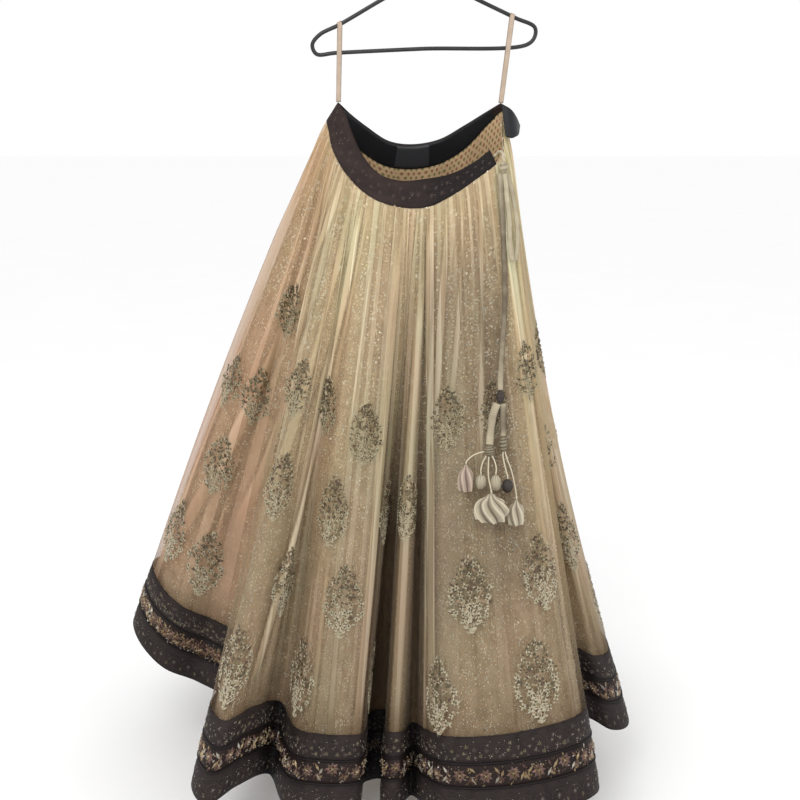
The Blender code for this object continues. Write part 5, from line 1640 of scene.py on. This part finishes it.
back_rows = np.arange(BACK_END, BAND_JOIN + BAND_STEP / 2, BAND_STEP)
front_rows = np.arange(BAND_JOIN, FRONT_END + BAND_STEP / 2, BAND_STEP)
band_rows = np.concatenate([back_rows, front_rows[1:]])
band = ruled(waist_edge(0, band_rows), waist_edge(1, band_rows), BAND_ROWS)
band_normals = outwards(band, closed=False)
join = len(back_rows)
for name, columns in (("waistband_back", slice(0, join)), ("waistband_front", slice(join - 1, None))):
    grid, normals = band[columns], band_normals[columns]
    wall = open_wall(grid, normals, BAND_WALL, SEAM_GAP / 2)
    piece = new_piece(name + "_cloth", wall, [band_finish], "waistband", name, cut=flat_of(grid))
    width = float(np.linalg.norm(grid[:, -1] - grid[:, 0], axis=1).mean())
    length = length_of(grid[:, BAND_ROWS // 2])
    stitched = repeated(band_work, BAND_REPEAT, length - 2 * BAND_MARGIN, np.random.default_rng(30))
    band_cloth = (grid, normals, np.linspace(0.0, 1.0, BAND_ROWS), width, False, BAND_WALL / 2 + WORK_LIFT)
    part = worn(stitched + (BAND_MARGIN, 0, 0, 0, 0, 0, 0), band_cloth, 0.0, 0.5)
    on_it = stitched_piece(name + "_work", [part], thread_finish, "waistband")


def layer_on(shift, first, last, inset):
    """Part of the band moved along its normals and kept clear of its long edges, and its normals.

    first and last count columns of the frame's own back band.
    """
    each = (BAND_JOIN - BACK_END) / BAND_COLUMNS / BAND_STEP
    columns = slice(round(first * each), round(last * each) + 1)
    layer = (band + band_normals * shift)[columns]
    return ruled(layer[:, 0], layer[:, -1], BAND_ROWS, inset), band_normals[columns]


facing_shift = -(BAND_WALL + FACING_WALL) / 2 - SEAM_GAP
label_shift = facing_shift - (FACING_WALL + LABEL_WALL) / 2 - SEAM_GAP
turned = ruled(*[evenly([row[1 + 3 * edge:4 + 3 * edge] for row in TURNED_END], TURNED_COLUMNS)
                 for edge in (0, 1)], TURNED_ROWS)
for name, (grid, normals), wall, finish, slot, width, held, below in (
        ("facing_back", layer_on(facing_shift, 2, 22, 0.03), FACING_WALL, satin_finish, "facing", 0.041,
         "hung", "waistband_back"),
        ("label", layer_on(label_shift, 10, 14, 0.07), LABEL_WALL, label_finish, "label", 0.040,
         "hung", "facing_back"),
        ("waistband_turned_end", (turned, outwards(turned, closed=False)), BAND_WALL, satin_finish, "facing",
         0.046, "folded", "waistband_back")):
    piece = new_piece(name + "_cloth", open_wall(grid, normals, wall), [finish], slot, name,
                      cut=flat_of(grid))
    length = length_of(grid[:, grid.shape[1] // 2])


# ================================================================ ribbon loops
# Two flat ribbon loops, each sewn into the band at a peak. Each goes up over an arm of the hanger
# and down round its bar, front and back.
HANGER_TUBE = 0.0072
HANGER = (
    # name              x       z
    ("apex",           0.000, -0.070),
    ("right arm",      0.091, -0.112),
    ("right shoulder", 0.159, -0.143),
    ("right corner",   0.194, -0.159),
    ("right end",      0.194, -0.176),
    ("bar right",      0.180, -0.189),
    ("bar middle",    -0.010, -0.196),
    ("bar left",      -0.163, -0.203),
    ("left end low",  -0.199, -0.205),
    ("left end",      -0.206, -0.189),
    ("left corner",   -0.193, -0.172),
    ("left shoulder", -0.156, -0.154),
    ("left arm",      -0.077, -0.110),
)
RIBBON_WIDTH = 0.009
RIBBON_WALL = 0.0010
RIBBON_CLEARANCE = 0.0008
RIBBON_FOOT = 0.0016         # half the gap between its two sides at the foot
RIBBON_LIFT = 0.0031         # the foot, above the point where it is sewn
LOOPS = (
    # name          over x   over z   bar z    sewn x   sewn z
    ("loop_left",   -0.156, -0.154, -0.203,  -0.160, -0.290),
    ("loop_right",   0.153, -0.140, -0.190,   0.136, -0.292),
)

# The ribbon's darker dye is painted shade at its edges.
ribbon_finish = fabric_finish("cream loop ribbon", linear(184, 165, 146), linear(122, 103, 86), 0.6, 1200.0)
hanger_line = evenly([(x, 0.0, z) for _, x, z in HANGER], 4000, closed=True)
reach = HANGER_TUBE / 2 + RIBBON_WALL / 2 + RIBBON_CLEARANCE
for name, over_x, over_z, bar_z, sewn_x, sewn_z in LOOPS:
    nearest = np.argmin(np.linalg.norm(hanger_line - (over_x, 0.0, over_z), axis=1))
    head = hanger_line[nearest]
    arm = unit(hanger_line[nearest + 1] - hanger_line[nearest - 1])
    arm = arm * (1.0 if arm[0] > 0 else -1.0)
    above = np.array((-arm[2], 0.0, arm[0]))
    foot = np.array((sewn_x, 0.0, sewn_z + RIBBON_LIFT))
    bar = head + (foot - head) * (head[2] - bar_z + reach) / (head[2] - foot[2])
    turns = np.linspace(0.0, np.pi, 17)[:, None]
    top = head + above * reach * np.sin(turns) - np.array((0.0, reach, 0.0)) * np.cos(turns)
    shares = np.linspace(0.0, 1.0, 30)[:, None]
    down = bar + (foot - bar) * shares + np.array((0.0, 1.0, 0.0)) * (reach + (RIBBON_FOOT - reach) * shares)
    path = np.vstack([top, down, foot[None] - (0.0, 0.0, RIBBON_FOOT), down[::-1] * (1.0, -1.0, 1.0)])
    share = np.clip((path[:, 2:] - bar[2]) / (head[2] - bar[2]), 0.0, 1.0)
    side = unit(arm * share + np.array((1.0, 0.0, 0.0)) * (1.0 - share))
    ring = flat_ring(RIBBON_WIDTH, RIBBON_WALL, 20)
    # Painted shade: the ribbon is darker towards its two edges.
    fold = 0.15 + 0.7 * (np.abs(ring[:, 0]) / (RIBBON_WIDTH / 2)) ** 6
    ribbon = tube(path, side, ring, closed=True)
    loop = new_piece(name + "_ribbon", ribbon, [ribbon_finish], "ribbon", name, fold=fold)
    round(length_of(path), 3)


# ================================================================ hanger
# A slim black hanger: one tube bent into a shallow triangle and closed at the bar, with a hook of
# thick wire set into its apex. Both are black and lightly polished by use.
HOOK_WIRE = 0.0040
HOOK_INNER_RADIUS = 0.021
HOOK_RISE = 0.012
HOOK_ARC = (-50, 195)

hanger_finish = Finish("black hanger", Roughness=0.4)
hanger_wear = hanger_finish.noise(hanger_finish.place(), 55.0, 4.0)
hanger_finish.dyed(hanger_finish.spread(hanger_wear, 0.45, 0.8), linear(22, 22, 23), linear(44, 43, 42))
hanger_finish.into("Roughness", hanger_finish.spread(hanger_wear, 0.3, 0.9) * 0.3 + 0.3)
hanger_finish.raised(hanger_finish.noise(hanger_finish.place(), 800.0, 2.0), 0.0002, 0.4)

line = evenly([(x, 0.0, z) for _, x, z in HANGER], 240, closed=True)
frame_tube = tube(line, (0.0, 1.0, 0.0), round_ring(HANGER_TUBE / 2, 20), closed=True)
new_piece("hanger_frame_tube", frame_tube, [hanger_finish], "hanger", "hanger_frame")

radius = HOOK_INNER_RADIUS + HOOK_WIRE / 2
turns = np.radians(np.linspace(*HOOK_ARC, 8))
arc = np.stack([radius * np.cos(turns), 0.0 * turns, radius * np.sin(turns) - HOOK_INNER_RADIUS], axis=1)
foot = HANGER[0][2] + HANGER_TUBE / 2 + SEAM_GAP
route = np.vstack([[(0.0, 0.0, foot), (0.0, 0.0, foot + HOOK_RISE)], arc])
wire = tube(evenly(route, 120), (0.0, 1.0, 0.0), round_ring(HOOK_WIRE / 2, 16))
new_piece("hanger_hook_wire", wire, [hanger_finish], "hanger", "hanger_hook")
